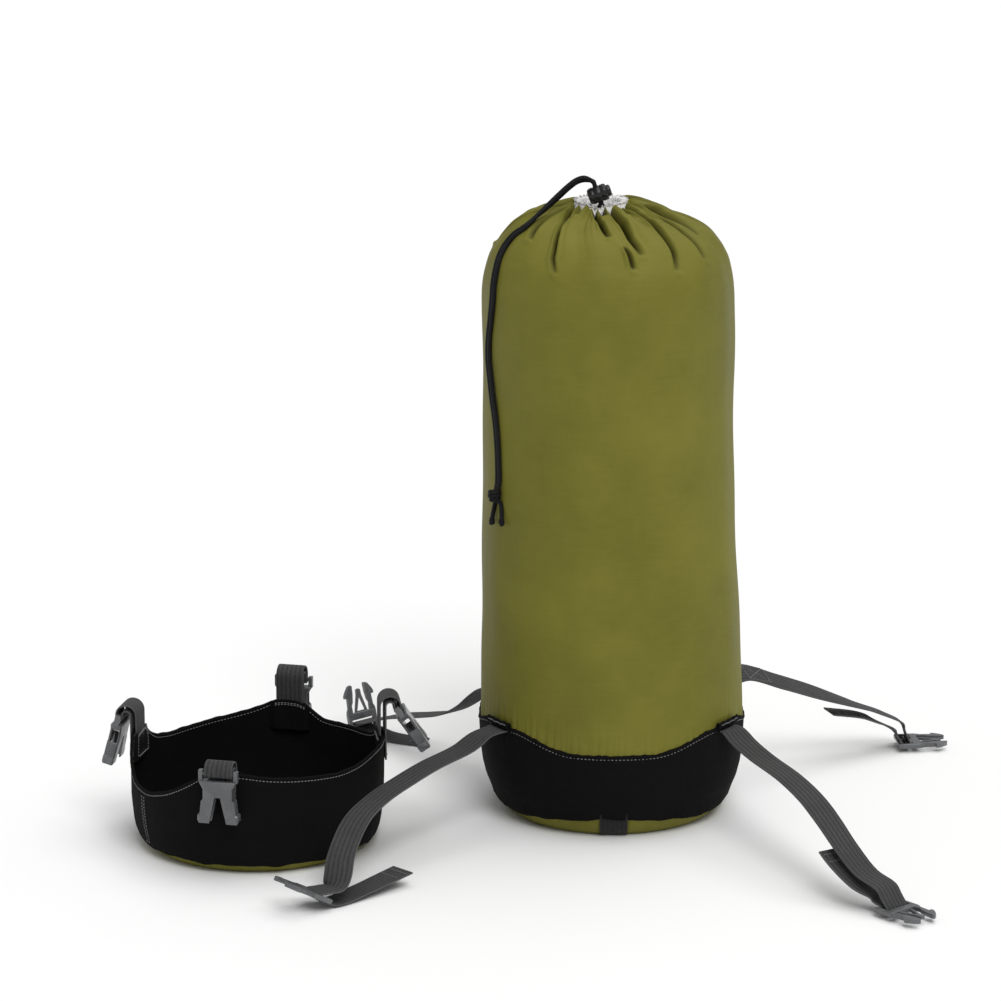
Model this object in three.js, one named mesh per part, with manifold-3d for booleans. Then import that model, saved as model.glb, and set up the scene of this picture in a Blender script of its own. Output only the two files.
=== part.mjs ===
// A compression sack: a drawcord bag standing full, with four webbing straps that end in male
// side-release buckles, and its loose lid lying beside it with four female buckles.
// Millimetres, +Z up. The origin is the middle of the bag's base, on the floor.
// The bag's front faces -Y. An azimuth is in degrees from the front, positive towards +X.

import * as THREE from "three";
import { mergeVertices } from "three/addons/utils/BufferGeometryUtils.js";
import Module from "manifold-3d";

const wasm = await Module();
wasm.setup();

// ---------------------------------------------------------------- driving dimensions

const GAP = 0.3; // clearance between touching pieces
const CLOTH = 1.6; // thickness of the bag's and the lid's cloth solids
const AROUND = 36; // facets round the bag and the lid

const BAG = {
  // outer radius at each height, from the base seam to the gathered mouth
  side: [[108.5, 24], [112, 32], [115, 44], [117, 60], [118, 92], [117, 140], [115, 200], [112.5, 290],
    [111.3, 380], [112, 450], [111.2, 482], [108.6, 497], [105, 509], [98, 520], [89, 530],
    [76, 539], [58, 546], [40, 550.5], [27, 552.5]],
  // the base's corner, from the floor to the seam
  corner: [[91, 0], [98, 4.5], [104.8, 14], [108.3, 23.4]],
  floorCloth: 3,
  lean: -5, // how far the upper bag stands off the axis of its base
  leanFrom: 100,
  leanTo: 330,
  mouthShift: -7, // the mouth sits off the upper bag's axis
  shiftFrom: 525,
  mouthHeight: 552.5,
};
const BAND = { bottom: 19, low: 82, tab: 95, inner: 0.35, outer: 1.6 };
const TABS = [-57, 57, 123, -123]; // the strap tabs round the bag
const GRAB = { width: 25, thickness: 1.4 };
const HEM = { radius: 20.6, outer: 3.6, inner: 2.5, height: 552.5 };
const CORD = { diameter: 4, sides: 8 };
const LOCK = {
  centre: [-15, -14, 566], tilt: 20, radius: 7.4, length: 17, bore: 5.5, boreDepth: 15.9,
  plungerRadius: 5.2, plungerLength: 16.6, travel: 2.5, pocket: 3.6, pocketDepth: 1.8,
};
const WEB = { width: 25, thickness: 1.6, bend: 2.8 }; // bend: middle of the web round a buckle's bar
const MALE = {
  width: 34, rail: 3.4, thick: 4.4, rear: -8, rearBar: 2.4, bar: 2.4, barThick: 2.2,
  plate: 5.3, plateEnd: 12, tip: 38.5,
};
const FEMALE = {
  width: 34.8, thick: 10.4, rail: 3.4, railThick: 5, rear: -3.2, bar: 2.4, barThick: 2.4, plate: 6,
  socket: 11, end: 44, socketWidth: 28.4, socketThick: 6.8, slot: 16, slotFrom: 20,
};
const LID = {
  centre: [-316, -98],
  corner: [[94, 0], [100, 3.6], [104.4, 9.6], [106.5, 15]],
  side: [[107, 15.6], [109.4, 26], [111.4, 44], [111.7, 62], [112, 96]],
  // The rim's height round the lid, as [azimuth, height]: highest at the four web loops.
  rim: [
    [0, 93.8], [5, 92], [17, 90], [31, 88.5], [43, 87.5], [55, 89.5], [68, 94], [88, 95], [104, 95],
    [113, 84], [122, 80], [148, 79], [155, 83], [160, 94], [167, 95], [174, 94.5], [180, 88.5],
    [189, 83], [200, 79.5], [214, 76], [228, 74], [240, 78], [249, 95], [265, 95], [276, 77],
    [288, 64], [304, 62.5], [318, 70], [330, 82], [339, 94], [347, 95], [355, 95], [360, 93.8],
  ],
  rimBlend: [-4, -2, 0, 2, 4],
};

// ---------------------------------------------------------------- materials

const finish = (color, roughness) =>
  new THREE.MeshStandardMaterial({ color, roughness, metalness: 0 });
const OLIVE = finish(0x73702f, 0.42);
const BLACK = finish(0x1c1a1a, 0.8);
const PALE = finish(0xd8d5d0, 0.75);
const CORD_BLACK = finish(0x141315, 0.7);
const LOCK_BLACK = finish(0x121212, 0.45);
const STEEL = new THREE.MeshStandardMaterial({ color: 0x9a9a9a, roughness: 0.35, metalness: 1 });
const WEB_GREY = finish(0x4a4a4b, 0.75);
const BUCKLE_GREY = finish(0x6c6e70, 0.5);

// ---------------------------------------------------------------- solids

const rad = THREE.MathUtils.degToRad;
const V = (x, y, z) => new THREE.Vector3(x, y, z);
const outward = (azimuth) => V(Math.sin(rad(azimuth)), -Math.cos(rad(azimuth)), 0);

/** A closed solid through rings of points. The last ring joins the first, or both ends are capped. */
function loft(rings, joinsUp = false) {
  const sides = rings[0].length;
  const points = rings.flat();
  const index = [];
  const spans = joinsUp ? rings.length : rings.length - 1;
  for (let r = 0; r < spans; r += 1) {
    const a = r * sides;
    const b = ((r + 1) % rings.length) * sides;
    for (let s = 0; s < sides; s += 1) {
      const t = (s + 1) % sides;
      index.push(a + s, a + t, b + t, a + s, b + t, b + s);
    }
  }
  if (!joinsUp) {
    const last = (rings.length - 1) * sides;
    for (let s = 1; s < sides - 1; s += 1) {
      index.push(0, s + 1, s, last, last + s, last + s + 1);
    }
  }
  const geometry = new THREE.BufferGeometry();
  geometry.setAttribute("position", new THREE.Float32BufferAttribute(
    points.flatMap((p) => p.toArray()), 3));
  geometry.setIndex(index);
  return facingOut(geometry);
}

/** The same surface with its faces turned, if they point inwards. */
function facingOut(geometry) {
  const p = geometry.getAttribute("position");
  const index = geometry.getIndex().array;
  const [a, b, c] = [V(), V(), V()];
  let volume = 0;
  for (let i = 0; i < index.length; i += 3) {
    a.fromBufferAttribute(p, index[i]);
    b.fromBufferAttribute(p, index[i + 1]);
    c.fromBufferAttribute(p, index[i + 2]);
    volume += a.dot(b.cross(c));
  }
  if (volume < 0) {
    const turned = [];
    for (let i = 0; i < index.length; i += 3) {
      turned.push(index[i], index[i + 2], index[i + 1]);
    }
    geometry.setIndex(turned);
  }
  return geometry;
}

function solid(geometry) {
  const bare = geometry.clone();
  bare.deleteAttribute("normal");
  bare.deleteAttribute("uv");
  const merged = mergeVertices(bare, 1e-4);
  return new wasm.Manifold(new wasm.Mesh({
    numProp: 3,
    vertProperties: new Float32Array(merged.getAttribute("position").array),
    triVerts: new Uint32Array(merged.getIndex().array),
  }));
}

function surface(manifold) {
  const mesh = manifold.getMesh();
  const geometry = new THREE.BufferGeometry();
  geometry.setAttribute("position", new THREE.BufferAttribute(mesh.vertProperties, 3));
  geometry.setIndex(new THREE.BufferAttribute(mesh.triVerts, 1));
  return geometry;
}

/** A block between two corners. */
function block(x0, x1, y0, y1, z0, z1) {
  return solid(new THREE.BoxGeometry(x1 - x0, y1 - y0, z1 - z0)
    .translate((x0 + x1) / 2, (y0 + y1) / 2, (z0 + z1) / 2));
}

/** A flat outline in x and y, made into a plate of a thickness, centred on z = 0. */
function plate(outline, thickness, bevel = 0) {
  const shape = new THREE.Shape(outline.map(([x, y]) => new THREE.Vector2(x, y)));
  return solid(new THREE.ExtrudeGeometry(shape, {
    depth: thickness - 2 * bevel,
    bevelEnabled: bevel > 0,
    bevelThickness: bevel,
    bevelSize: bevel,
    bevelOffset: -bevel,
    bevelSegments: 1,
  }).translate(0, 0, bevel - thickness / 2));
}

/** A turned solid about z, from a profile of [radius, z] that starts and ends on the axis. */
function turned(profile, segments) {
  const lathe = new THREE.LatheGeometry(profile.map(([r, z]) => new THREE.Vector2(r, z)), segments);
  return lathe.rotateX(Math.PI / 2);
}

/** A cord of round section along a route. */
function cordAlong(points, steps, diameter = CORD.diameter) {
  const section = new THREE.Shape();
  for (let i = 0; i < CORD.sides; i += 1) {
    const a = (i / CORD.sides) * 2 * Math.PI;
    const [x, y] = [(diameter / 2) * Math.cos(a), (diameter / 2) * Math.sin(a)];
    if (i === 0) {
      section.moveTo(x, y);
    } else {
      section.lineTo(x, y);
    }
  }
  const route = new THREE.CatmullRomCurve3(points.map((p) => V(...p)));
  return new THREE.ExtrudeGeometry(section, { steps, extrudePath: route, bevelEnabled: false });
}

/** A flat web along points. side says which way its width lies at each one. */
function webAlong(points, sides, width = WEB.width, thickness = WEB.thickness) {
  const rings = points.map((p, i) => {
    const along = points[Math.min(i + 1, points.length - 1)].clone()
      .sub(points[Math.max(i - 1, 0)]).normalize();
    const side = sides[i].clone().addScaledVector(along, -sides[i].dot(along)).normalize();
    const face = V().crossVectors(along, side);
    const corner = (s, f) => p.clone().addScaledVector(side, (s * width) / 2)
      .addScaledVector(face, (f * thickness) / 2);
    return [corner(-1, -1), corner(1, -1), corner(1, 1), corner(-1, 1)];
  });
  return loft(rings);
}

// ---------------------------------------------------------------- the model

const model = new THREE.Group();

function add(name, geometry, material, parent = model) {
  const mesh = new THREE.Mesh(geometry, material);
  mesh.name = name;
  parent.add(mesh);
}

const smooth = (t) => t * t * (3 - 2 * t);
const between = (t, a, b) => THREE.MathUtils.clamp((t - a) / (b - a), 0, 1);

/** Radius at a height, on a profile of [radius, height] points. */
function radiusAt(profile, z) {
  const last = profile.length - 1;
  const k = Math.min(last - 1, Math.max(0, profile.findIndex((p) => p[1] > z) - 1));
  const upper = z >= profile[last][1] ? last - 1 : k;
  const [[r0, z0], [r1, z1]] = [profile[upper], profile[upper + 1]];
  return r0 + (r1 - r0) * between(z, z0, z1);
}

/** One ring round the z axis. Radius and height may change with the azimuth. */
function ring(radius, height, segments = AROUND, centre = [0, 0]) {
  return Array.from({ length: segments }, (_, i) => {
    const azimuth = (i / segments) * 360;
    const z = typeof height === "function" ? height(azimuth) : height;
    const r = typeof radius === "function" ? radius(z) : radius;
    return outward(azimuth).multiplyScalar(r).add(V(centre[0], centre[1], z));
  });
}

/** How far round two azimuths are from each other, in degrees. */
const turnBetween = (a, b) => Math.abs(((((a - b) % 360) + 540) % 360) - 180);

/** A scalloped edge that rises to each tab. */
function scallop(azimuth, tabs, low, high, halfWidth) {
  const nearest = Math.min(...tabs.map((tab) => turnBetween(azimuth, tab)));
  return low + (high - low) * smooth(1 - between(nearest, 8, halfWidth));
}

// ---------------------------------------------------------------- the bag's cloth

/** How far the bag's axis is off its base's axis, along X, at a height. */
const leaning = (z) => BAG.lean * smooth(between(z, BAG.leanFrom, BAG.leanTo));
const mouthX = BAG.lean + BAG.mouthShift;

/** The bag's cloth, open at its mouth. Its inner face has half as many rings as its outer one. */
function bagBody() {
  const { side, mouthShift, shiftFrom, mouthHeight } = BAG;
  const shift = (z) => leaning(z) + mouthShift * smooth(between(z, shiftFrom, mouthHeight));
  const outer = side.map(([r, z]) => ring(r, z, AROUND, [shift(z), 0]));
  const inner = side.slice(0, -1).map(([r, z], i) => {
    const [below, above] = [side[Math.max(i - 1, 0)], side[i + 1]];
    const slope = new THREE.Vector2(above[0] - below[0], above[1] - below[1]).normalize();
    const drop = i === 0 ? 0 : slope.x * CLOTH;
    return ring(r - slope.y * CLOTH, z + drop, AROUND, [shift(z), 0]);
  }).filter((_, i) => i % 2 === 0);
  const rim = ring(side.at(-1)[0] - CLOTH, mouthHeight - 1.2, AROUND, [mouthX, 0]);
  return loft([...outer, rim, ...inner.reverse()], true);
}

/** A dish of cloth: the flat floor and the rounded corner up to its seam. */
function dish(corner, thickness, segments = AROUND) {
  const [floor, ...rise] = corner;
  const top = corner.at(-1);
  const outer = [[0, 0], floor, ...rise];
  const inner = rise.slice(0, -1).reverse().map(([r, z]) => [r - thickness * 0.9, z + thickness * 0.5]);
  return turned([...outer, [top[0] - CLOTH, top[1]], ...inner,
    [floor[0] - thickness * 0.4, thickness], [0, thickness]], segments);
}

/** The web under the base, from one side of the corner to the other along Y. */
function grabWeb(width, thickness, depth) {
  const rise = BAG.corner.slice(1, 3).map(([r, z], i) => [r - depth * (0.75 + 0.1 * i), z + depth * 0.6]);
  const half = [[BAG.corner[0][0], depth], ...rise];
  const route = [...half.slice().reverse().map(([r, z]) => V(0, -r, z)), ...half.map(([r, z]) => V(0, r, z))];
  return webAlong(route, route.map(() => V(1, 0, 0)), width, thickness);
}

/** A band of cloth from bottom up to a scalloped edge, with a row at each height of its profile. */
function band(profile, bottom, edge, inner, outer, centre) {
  const lowest = Math.min(...Array.from({ length: 360 }, (_, azimuth) => edge(azimuth)));
  const heights = profile.map(([, z]) => z).filter((z) => z > bottom + 1 && z < lowest - 8);
  const side = (offset) => [bottom, ...heights, edge].map((height) => ring(
    (z) => radiusAt(profile, z) + offset, height, AROUND * 1.5, centre));
  return loft([...side(outer), ...side(inner).reverse()], true);
}

const bagWall = [...BAG.corner, ...BAG.side];
const channel = solid(grabWeb(GRAB.width + 2 * GAP, GRAB.thickness + 2 * GAP, GRAB.thickness / 2));
add("body_panel", bagBody(), OLIVE);
add("bottom_panel", surface(solid(dish(BAG.corner, BAG.floorCloth)).subtract(channel)), OLIVE);
add("grab_web", grabWeb(GRAB.width, GRAB.thickness, GRAB.thickness / 2), WEB_GREY);
add("base_band", band(bagWall, BAND.bottom, (a) => scallop(a, TABS, BAND.low, BAND.tab, 40),
  BAND.inner, BAND.outer), BLACK);

// ---------------------------------------------------------------- mouth, drawcord and cord lock

/** The pale hem round the mouth: a channel, open on top, with a notch where the drawcord comes out. */
function drawcordHem() {
  const section = [];
  for (let a = 170; a <= 370; a += 40) {
    section.push([HEM.outer * Math.cos(rad(a)), HEM.outer * Math.sin(rad(a))]);
  }
  for (let a = 370; a >= 170; a -= 40) {
    section.push([HEM.inner * Math.cos(rad(a)), HEM.inner * Math.sin(rad(a))]);
  }
  const rings = section.map(([r, z]) => ring(HEM.radius + r, HEM.height + z, 32, [mouthX, 0]));
  const notch = block(mouthX - 14, mouthX + 10, -HEM.radius, -10, HEM.height - 1.8, HEM.height + 4);
  return surface(solid(loft(rings, true)).subtract(notch));
}

const lockFrame = new THREE.Group();
lockFrame.position.set(...LOCK.centre);
lockFrame.rotation.y = rad(-LOCK.tilt);
lockFrame.updateMatrixWorld(true);
model.add(lockFrame);

const STRAND = (CORD.diameter + GAP) / 2; // half the distance between the two strands
const throughLock = (side, z) => V(0, side * STRAND, z).applyMatrix4(lockFrame.matrixWorld).toArray();

/** The drawcord's held part: up through the lock at one side, round the hem, and up at the other. */
function drawcordLoop() {
  const round = [];
  for (let azimuth = 16; azimuth <= 344; azimuth += 16.4) {
    round.push(outward(azimuth).multiplyScalar(HEM.radius)
      .add(V(mouthX, 0, HEM.height)).toArray());
  }
  const up = (side) => [throughLock(side, -9), throughLock(side, -3), throughLock(side, 9)];
  return cordAlong([...up(-1).reverse(), ...round, ...up(1)], 50);
}

function lockBody() {
  const half = LOCK.length / 2;
  const r = LOCK.radius;
  const barrel = turned([[0, -half], [r - 2, -half], [r - 0.6, -half + 1], [r, -half + 3], [r, half - 1.5],
    [r - 0.8, half], [0, half]], 20).rotateY(Math.PI / 2);
  const bore = turned([[0, half - LOCK.boreDepth], [LOCK.bore, half - LOCK.boreDepth], [LOCK.bore, half + 1],
    [0, half + 1]], 20).rotateY(Math.PI / 2);
  return surface(solid(barrel).subtract(solid(bore)).subtract(cordHole(0)));
}

/** The slot that both strands pass through, longer by some play towards the plunger's head. */
function cordHole(play) {
  const half = CORD.diameter / 2 + GAP;
  return block(-half, half + play, -STRAND - half, STRAND + half, -10, 10);
}

const boreEnd = LOCK.length / 2 - LOCK.boreDepth;

function lockPlunger() {
  const end = boreEnd + LOCK.travel + GAP;
  const head = end + LOCK.plungerLength;
  const r = LOCK.plungerRadius;
  const rod = turned([[0, end], [r, end], [r, head - 1], [r - 1, head], [0, head]], 20).rotateY(Math.PI / 2);
  const pocket = turned([[0, end - 1], [LOCK.pocket, end - 1], [LOCK.pocket, end + LOCK.pocketDepth],
    [0, end + LOCK.pocketDepth]], 16).rotateY(Math.PI / 2);
  return surface(solid(rod).subtract(solid(pocket)).subtract(cordHole(LOCK.travel)));
}

/** The plunger's return spring in the bottom of the bore, at its pressed length. */
function lockSpring() {
  const [wire, turns, radius, rise, steps] = [0.6, 1.5, 2.9, 1.1, 24];
  const coil = Array.from({ length: steps + 1 }, (_, i) => {
    const a = (i / steps) * turns * 2 * Math.PI;
    return [boreEnd + GAP + wire / 2 + (rise * i) / steps, radius * Math.cos(a), radius * Math.sin(a)];
  });
  return cordAlong(coil, 20, wire);
}

add("drawcord_hem", drawcordHem(), PALE);
add("drawcord_loop", drawcordLoop(), CORD_BLACK);
add("cord_lock_body", lockBody(), LOCK_BLACK, lockFrame);
add("cord_lock_plunger", lockPlunger(), LOCK_BLACK, lockFrame);
add("cord_lock_spring", lockSpring(), STEEL, lockFrame);

// ---------------------------------------------------------------- the drawcord's free ends

// Both strands, from the lock over the mouth and down the bag's left side to their shared knot.
const TAIL_A = [[-26.5, -14.5, 578.6], [-33, -15, 577], [-40.5, -16.5, 571.8], [-49, -19, 564.4],
  [-58.5, -23, 556.6], [-69, -28, 549], [-79.5, -33, 541.2], [-89, -29.8, 533.9], [-96.5, -30.8, 525.4],
  [-102, -36, 516.1], [-105.5, -42.1, 504.3], [-107.5, -44.8, 492.5], [-108.5, -47.2, 478.1],
  [-110, -44.8, 461.1], [-111.7, -41.2, 443], [-112.1, -39.6, 425], [-110.5, -43.2, 407],
  [-108.5, -47.4, 389], [-106, -52.6, 371], [-104.3, -56.3, 352], [-103.5, -58.6, 333],
  [-103.7, -59.8, 314.6]];
const KNOT = { centre: [-106, -62.8, 306], radius: 6, half: 7.4 };

/** The second strand lies beside the first: half over it on the arch, then on its front side. */
function besideFirst(points) {
  const apart = 4.4;
  const first = points.map((p) => V(...p));
  return first.map((p, i) => {
    const along = first[Math.min(i + 1, first.length - 1)].clone().sub(first[Math.max(i - 1, 0)]).normalize();
    const side = V(-0.2, -0.75, 0.6).lerp(V(0.4, -0.92, 0), smooth(between(i, 3, 7)));
    side.addScaledVector(along, -side.dot(along)).normalize();
    return p.clone().addScaledVector(side, apart).toArray();
  });
}

const TAIL_B = besideFirst(TAIL_A);
const LEGS = {
  a: [[-105.1, -55.8, 297.8], [-106.3, -55, 291], [-107.5, -54.8, 284.5], [-108.1, -54.6, 278.5]],
  b: [[-100.4, -63.5, 297.8], [-99.7, -65.3, 291.5], [-99.5, -67.2, 286], [-99.7, -68.4, 281]],
};

/** A short end of cord below the knot, with a small stop knot tied in it. */
function cordLeg(points) {
  const end = points.at(-1);
  const stop = new THREE.SphereGeometry(2.9, 10, 8).scale(1, 1, 1.25).translate(...end);
  return surface(solid(cordAlong(points, 8)).add(solid(stop)));
}

add("cord_tail_a", cordAlong([throughLock(1, 9.6), throughLock(1, 11.5), ...TAIL_A], 58), CORD_BLACK);
add("cord_tail_b", cordAlong([throughLock(-1, 9.6), throughLock(-1, 11.5), ...TAIL_B], 58), CORD_BLACK);
add("cord_knot", turned([[0, -KNOT.half], [4, -6.4], [KNOT.radius, -2.4], [KNOT.radius, 2.4], [4, 6.4],
  [0, KNOT.half]], 12).translate(...KNOT.centre), CORD_BLACK);
add("cord_end_a", cordLeg(LEGS.a), CORD_BLACK);
add("cord_end_b", cordLeg(LEGS.b), CORD_BLACK);

// ---------------------------------------------------------------- the male buckles

/** Half a male buckle's latch: an arm with its barb, as a flat outline on the +Y side. */
const MALE_ARM = [[MALE.plateEnd - 1, 11], [19, 11.2], [22, 9.4], [30, 8], [37, 7.6], [MALE.tip, 8.6],
  [MALE.tip - 1, 11.4], [32.5, 15.4], [29.4, 17.2], [26.8, 17.2], [26.4, 14], [21.5, 14.4], [16.5, 14.6],
  [MALE.plateEnd + 2, 16.2], [MALE.plateEnd - 1, 16.6]];

/** A male buckle: x points along its prongs, y along its bars, and its web turns round x = z = 0. */
function maleBuckle() {
  const half = MALE.width / 2;
  const t = MALE.thick / 2;
  const inner = half - MALE.rail;
  const mirrored = MALE_ARM.map(([x, y]) => [x, -y]).reverse();
  const frame = plate([[MALE.rear, -half], [MALE.plateEnd, -half], [MALE.plateEnd, half], [MALE.rear, half]],
    MALE.thick, 0.6);
  const window = block(MALE.rear - 1, MALE.plate, -inner, inner, -t - 1, t + 1);
  const bar = MALE.barThick / 2;
  const rear = block(MALE.rear, MALE.rear + MALE.rearBar, -inner - 1, inner + 1, -bar, bar);
  const middle = block(-MALE.bar / 2, MALE.bar / 2, -inner - 1, inner + 1, -bar, bar);
  const guide = plate([[MALE.plateEnd - 1, -7.5], [28, -2.6], [33, -2.2], [34, 0], [33, 2.2], [28, 2.6],
    [MALE.plateEnd - 1, 7.5]], 2.6)
    .subtract(plate([[MALE.plateEnd + 1, -5.2], [25, -1], [25, 1], [MALE.plateEnd + 1, 5.2]], 4));
  const arms = plate(MALE_ARM, 3.8).add(plate(mirrored, 3.8));
  return surface(frame.subtract(window).add(rear).add(middle).add(guide).add(arms));
}

// ---------------------------------------------------------------- the straps

// Each strap's web runs from its tab on the band, along the route, to the bar of its buckle. It turns
// round the bar there, and its loose tail lies back under it. heading and pitch say which way the turn
// faces, and prongs is the buckle's turn about its bar, from the turn's own direction. twist is how
// steeply the web's width is tilted near its tab. above and below
// are the web's two layers behind the bar: each point is how far back it is, and how far off the bar's
// middle, and wrap is how far round the bar the layer is still bent.
const STRAPS = [
  {
    name: "front_left", tab: -57, bar: [-259, -285, 12], heading: 212, pitch: 11, prongs: 17,
    route: [[-118, -74, 87], [-133, -90, 80], [-163, -124, 75], [-185, -152, 70], [-206, -183, 65],
      [-222, -211, 58], [-231, -235, 49], [-238, -257, 34], [-240, -268, 22]],
    above: { wrap: 80, points: [[9, 4.2], [18, 6.4]] },
    below: { wrap: 78, points: [[9, 5.5], [18, 6.6]] },
    tail: [[-221, -256, 5.4], [-203, -240, 9], [-185, -222, 12]],
  },
  {
    name: "front_right", tab: 57, bar: [235, -304, 6.4], heading: -48, pitch: -40, prongs: 40,
    route: [[116, -86, 84], [129, -114, 80], [153, -168, 77], [170, -206, 70], [183, -234, 59],
      [197, -257, 43], [212, -278, 29]],
    above: { wrap: 80, points: [[9, 4.2], [18, 5.6]] },
    below: { wrap: 108, points: [[5, 1.2], [9, 3.4], [18, 8]] },
    tail: [[211, -285, 17], [205, -280, 21], [192, -264, 31], [183, -250, 40]],
  },
  {
    name: "back_right", tab: 123, bar: [280, 161, 6.4], heading: 6, pitch: -50, prongs: 50, twist: 0.42,
    route: [[110, 72, 95], [123, 82, 98], [157, 99, 84], [181, 112, 73], [205, 124, 62], [228, 137, 51],
      [246, 148, 42], [262, 155, 34]],
    above: { wrap: 66, points: [[9, 6.4], [18, 8.4]] },
    below: { wrap: 94, points: [[9, 2], [18, 2.2]] },
    tail: [[251, 150, 30], [236, 145, 37], [206, 134, 44]],
  },
  {
    name: "back_left", tab: -123, bar: [-231, 209, 8.6], heading: 132, pitch: -4, prongs: 80,
    route: [[-110, 72, 88], [-119, 84, 78], [-131, 101, 62], [-148, 122, 47], [-173, 149, 36],
      [-198, 174, 27]],
    above: { wrap: 80, points: [[9, 4.2], [18, 6.4]] },
    below: { wrap: 86, points: [[9, 3.4], [18, 4.2]] },
    tail: [[-206, 188, 3], [-190, 181, 1.8], [-172, 174, 1.3]],
  },
];
const ROOT_GAP = 1; // between a strap's end and the band, so that the strap can swing up

/** The directions at a strap's bar: along the turn, along the bar, and across both. */
function turnFrame({ heading, pitch }) {
  const [h, p] = [rad(heading), rad(pitch)];
  const along = V(Math.cos(h) * Math.cos(p), Math.sin(h) * Math.cos(p), Math.sin(p));
  const bar = V(-Math.sin(h), Math.cos(h), 0);
  return { along, bar, across: V().crossVectors(along, bar) };
}

function strapWeb(strap) {
  const { along, bar, across } = turnFrame(strap);
  const { above, below } = strap;
  const centre = V(...strap.bar);
  const at = (x, z) => centre.clone().addScaledVector(along, x).addScaledVector(across, z);
  const onTurn = (angle) => at(WEB.bend * Math.cos(rad(angle)), WEB.bend * Math.sin(rad(angle)));
  const rootRadius = radiusAt(bagWall, 91) + BAND.outer + ROOT_GAP;
  const root = outward(strap.tab).multiplyScalar(rootRadius).setZ(91);
  const first = new THREE.CatmullRomCurve3([root, root.clone().addScaledVector(outward(strap.tab), 5),
    ...strap.route.map((p) => V(...p)), ...above.points.toReversed().map(([back, off]) => at(-back, off)),
    onTurn(above.wrap)]).getSpacedPoints(34);
  const turn = [];
  for (let angle = above.wrap - 20; angle > 5 - below.wrap; angle -= 20) {
    turn.push(onTurn(angle));
  }
  const tail = new THREE.CatmullRomCurve3([onTurn(-below.wrap),
    ...below.points.map(([back, off]) => at(-back, -off)), ...strap.tail.map((p) => V(...p))])
    .getSpacedPoints(18);
  const points = [...first, ...turn, ...tail];
  const sides = [];
  let side = V(-outward(strap.tab).y, outward(strap.tab).x, 0);
  points.forEach((p, i) => {
    const step = points[Math.min(i + 1, points.length - 1)].clone().sub(points[Math.max(i - 1, 0)]);
    const t = i / (first.length - 1);
    const twist = (strap.twist ?? 0) * smooth(between(t, 0, 0.12)) * (1 - smooth(between(t, 0.35, 0.85)));
    const level = V(-step.y, step.x, 0).normalize().setZ(twist);
    const inTurn = i >= first.length - 1 && i < first.length + turn.length + 1;
    const next = inTurn ? bar.clone() : level.normalize();
    side = next.dot(side) < 0 ? next.negate() : next;
    sides.push(side);
  });
  return webAlong(points, sides);
}

for (const strap of STRAPS) {
  add(`strap_${strap.name}`, strapWeb(strap), WEB_GREY);
  const { along, bar, across } = turnFrame(strap);
  const frame = new THREE.Group();
  const prongs = along.clone().applyAxisAngle(bar, -rad(strap.prongs));
  const face = across.clone().applyAxisAngle(bar, -rad(strap.prongs));
  frame.setRotationFromMatrix(new THREE.Matrix4().makeBasis(prongs, bar, face));
  frame.position.set(...strap.bar);
  model.add(frame);
  add(`male_buckle_${strap.name}`, maleBuckle(), BUCKLE_GREY, frame);
}

// ---------------------------------------------------------------- the lid

// The lid lies open side up. Each web loop rises from the rim at its azimuth, hooks outwards over
// top, and holds a female buckle whose bar is at barHeight and which leans out by lean degrees.
const LOOPS = [
  { name: "front", azimuth: -13, hook: 98, barHeight: 98, lean: 0 },
  { name: "right", azimuth: 96, hook: 121, barHeight: 118, lean: 34 },
  { name: "back", azimuth: 167, hook: 115, barHeight: 110, lean: 0 },
  { name: "left", azimuth: -103, hook: 108, barHeight: 106, lean: 14 },
];
// reach: from the wall's face out to the buckle's bar
const LOOP = { reach: 12, foot: 72, clearInside: 1.4, clearOutside: 0.5 };

const lidCentre = V(...LID.centre, 0);
const lidRadius = LID.side.at(-1)[0];
add("lid_top_panel", dish(LID.corner, 2.4).translate(...LID.centre, 0), OLIVE);

/** The height of the lid's rim at an azimuth, blended over a few degrees. */
function lidRim(azimuth) {
  const heights = LID.rimBlend.map((turn) => {
    const at = (azimuth + turn + 720) % 360;
    const next = LID.rim.findIndex(([start]) => start > at);
    const [[start, from], [end, to]] = [LID.rim[next - 1], LID.rim[next]];
    return from + (to - from) * between(at, start, end);
  });
  return heights.reduce((sum, height) => sum + height, 0) / heights.length;
}
add("lid_wall", band(LID.side, LID.side[0][1], lidRim, -CLOTH, 0, LID.centre), BLACK);

/** A lid's web loop: both legs straddle the wall, and the fold between them hooks over the bar. */
function lidLoop({ azimuth, hook, barHeight }) {
  const across = outward(azimuth);
  const at = (r, z) => lidCentre.clone().addScaledVector(across, r).setZ(z);
  const insideLeg = lidRadius - CLOTH - LOOP.clearInside - WEB.thickness / 2;
  const outsideLeg = lidRadius + LOOP.clearOutside + WEB.thickness / 2;
  const bar = lidRadius + LOOP.reach;
  const halfTurn = (from, to, z, direction, steps) => Array.from({ length: steps + 1 }, (_, i) => {
    const a = Math.PI * (1 - i / steps);
    const [middle, radius] = [(from + to) / 2, (to - from) / 2];
    return at(middle + radius * Math.cos(a), z + direction * Math.abs(radius) * Math.sin(a));
  });
  const points = [
    at(insideLeg, LOOP.foot),
    ...halfTurn(insideLeg, bar + WEB.bend, hook, 1, 10),
    ...halfTurn(bar + WEB.bend, bar - WEB.bend, barHeight - 0.01, -1, 8),
    ...halfTurn(bar - WEB.bend, outsideLeg, hook, 1, 8),
    at(outsideLeg, LOOP.foot),
  ];
  const side = V(-across.y, across.x, 0);
  return webAlong(points, points.map(() => side));
}

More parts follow.
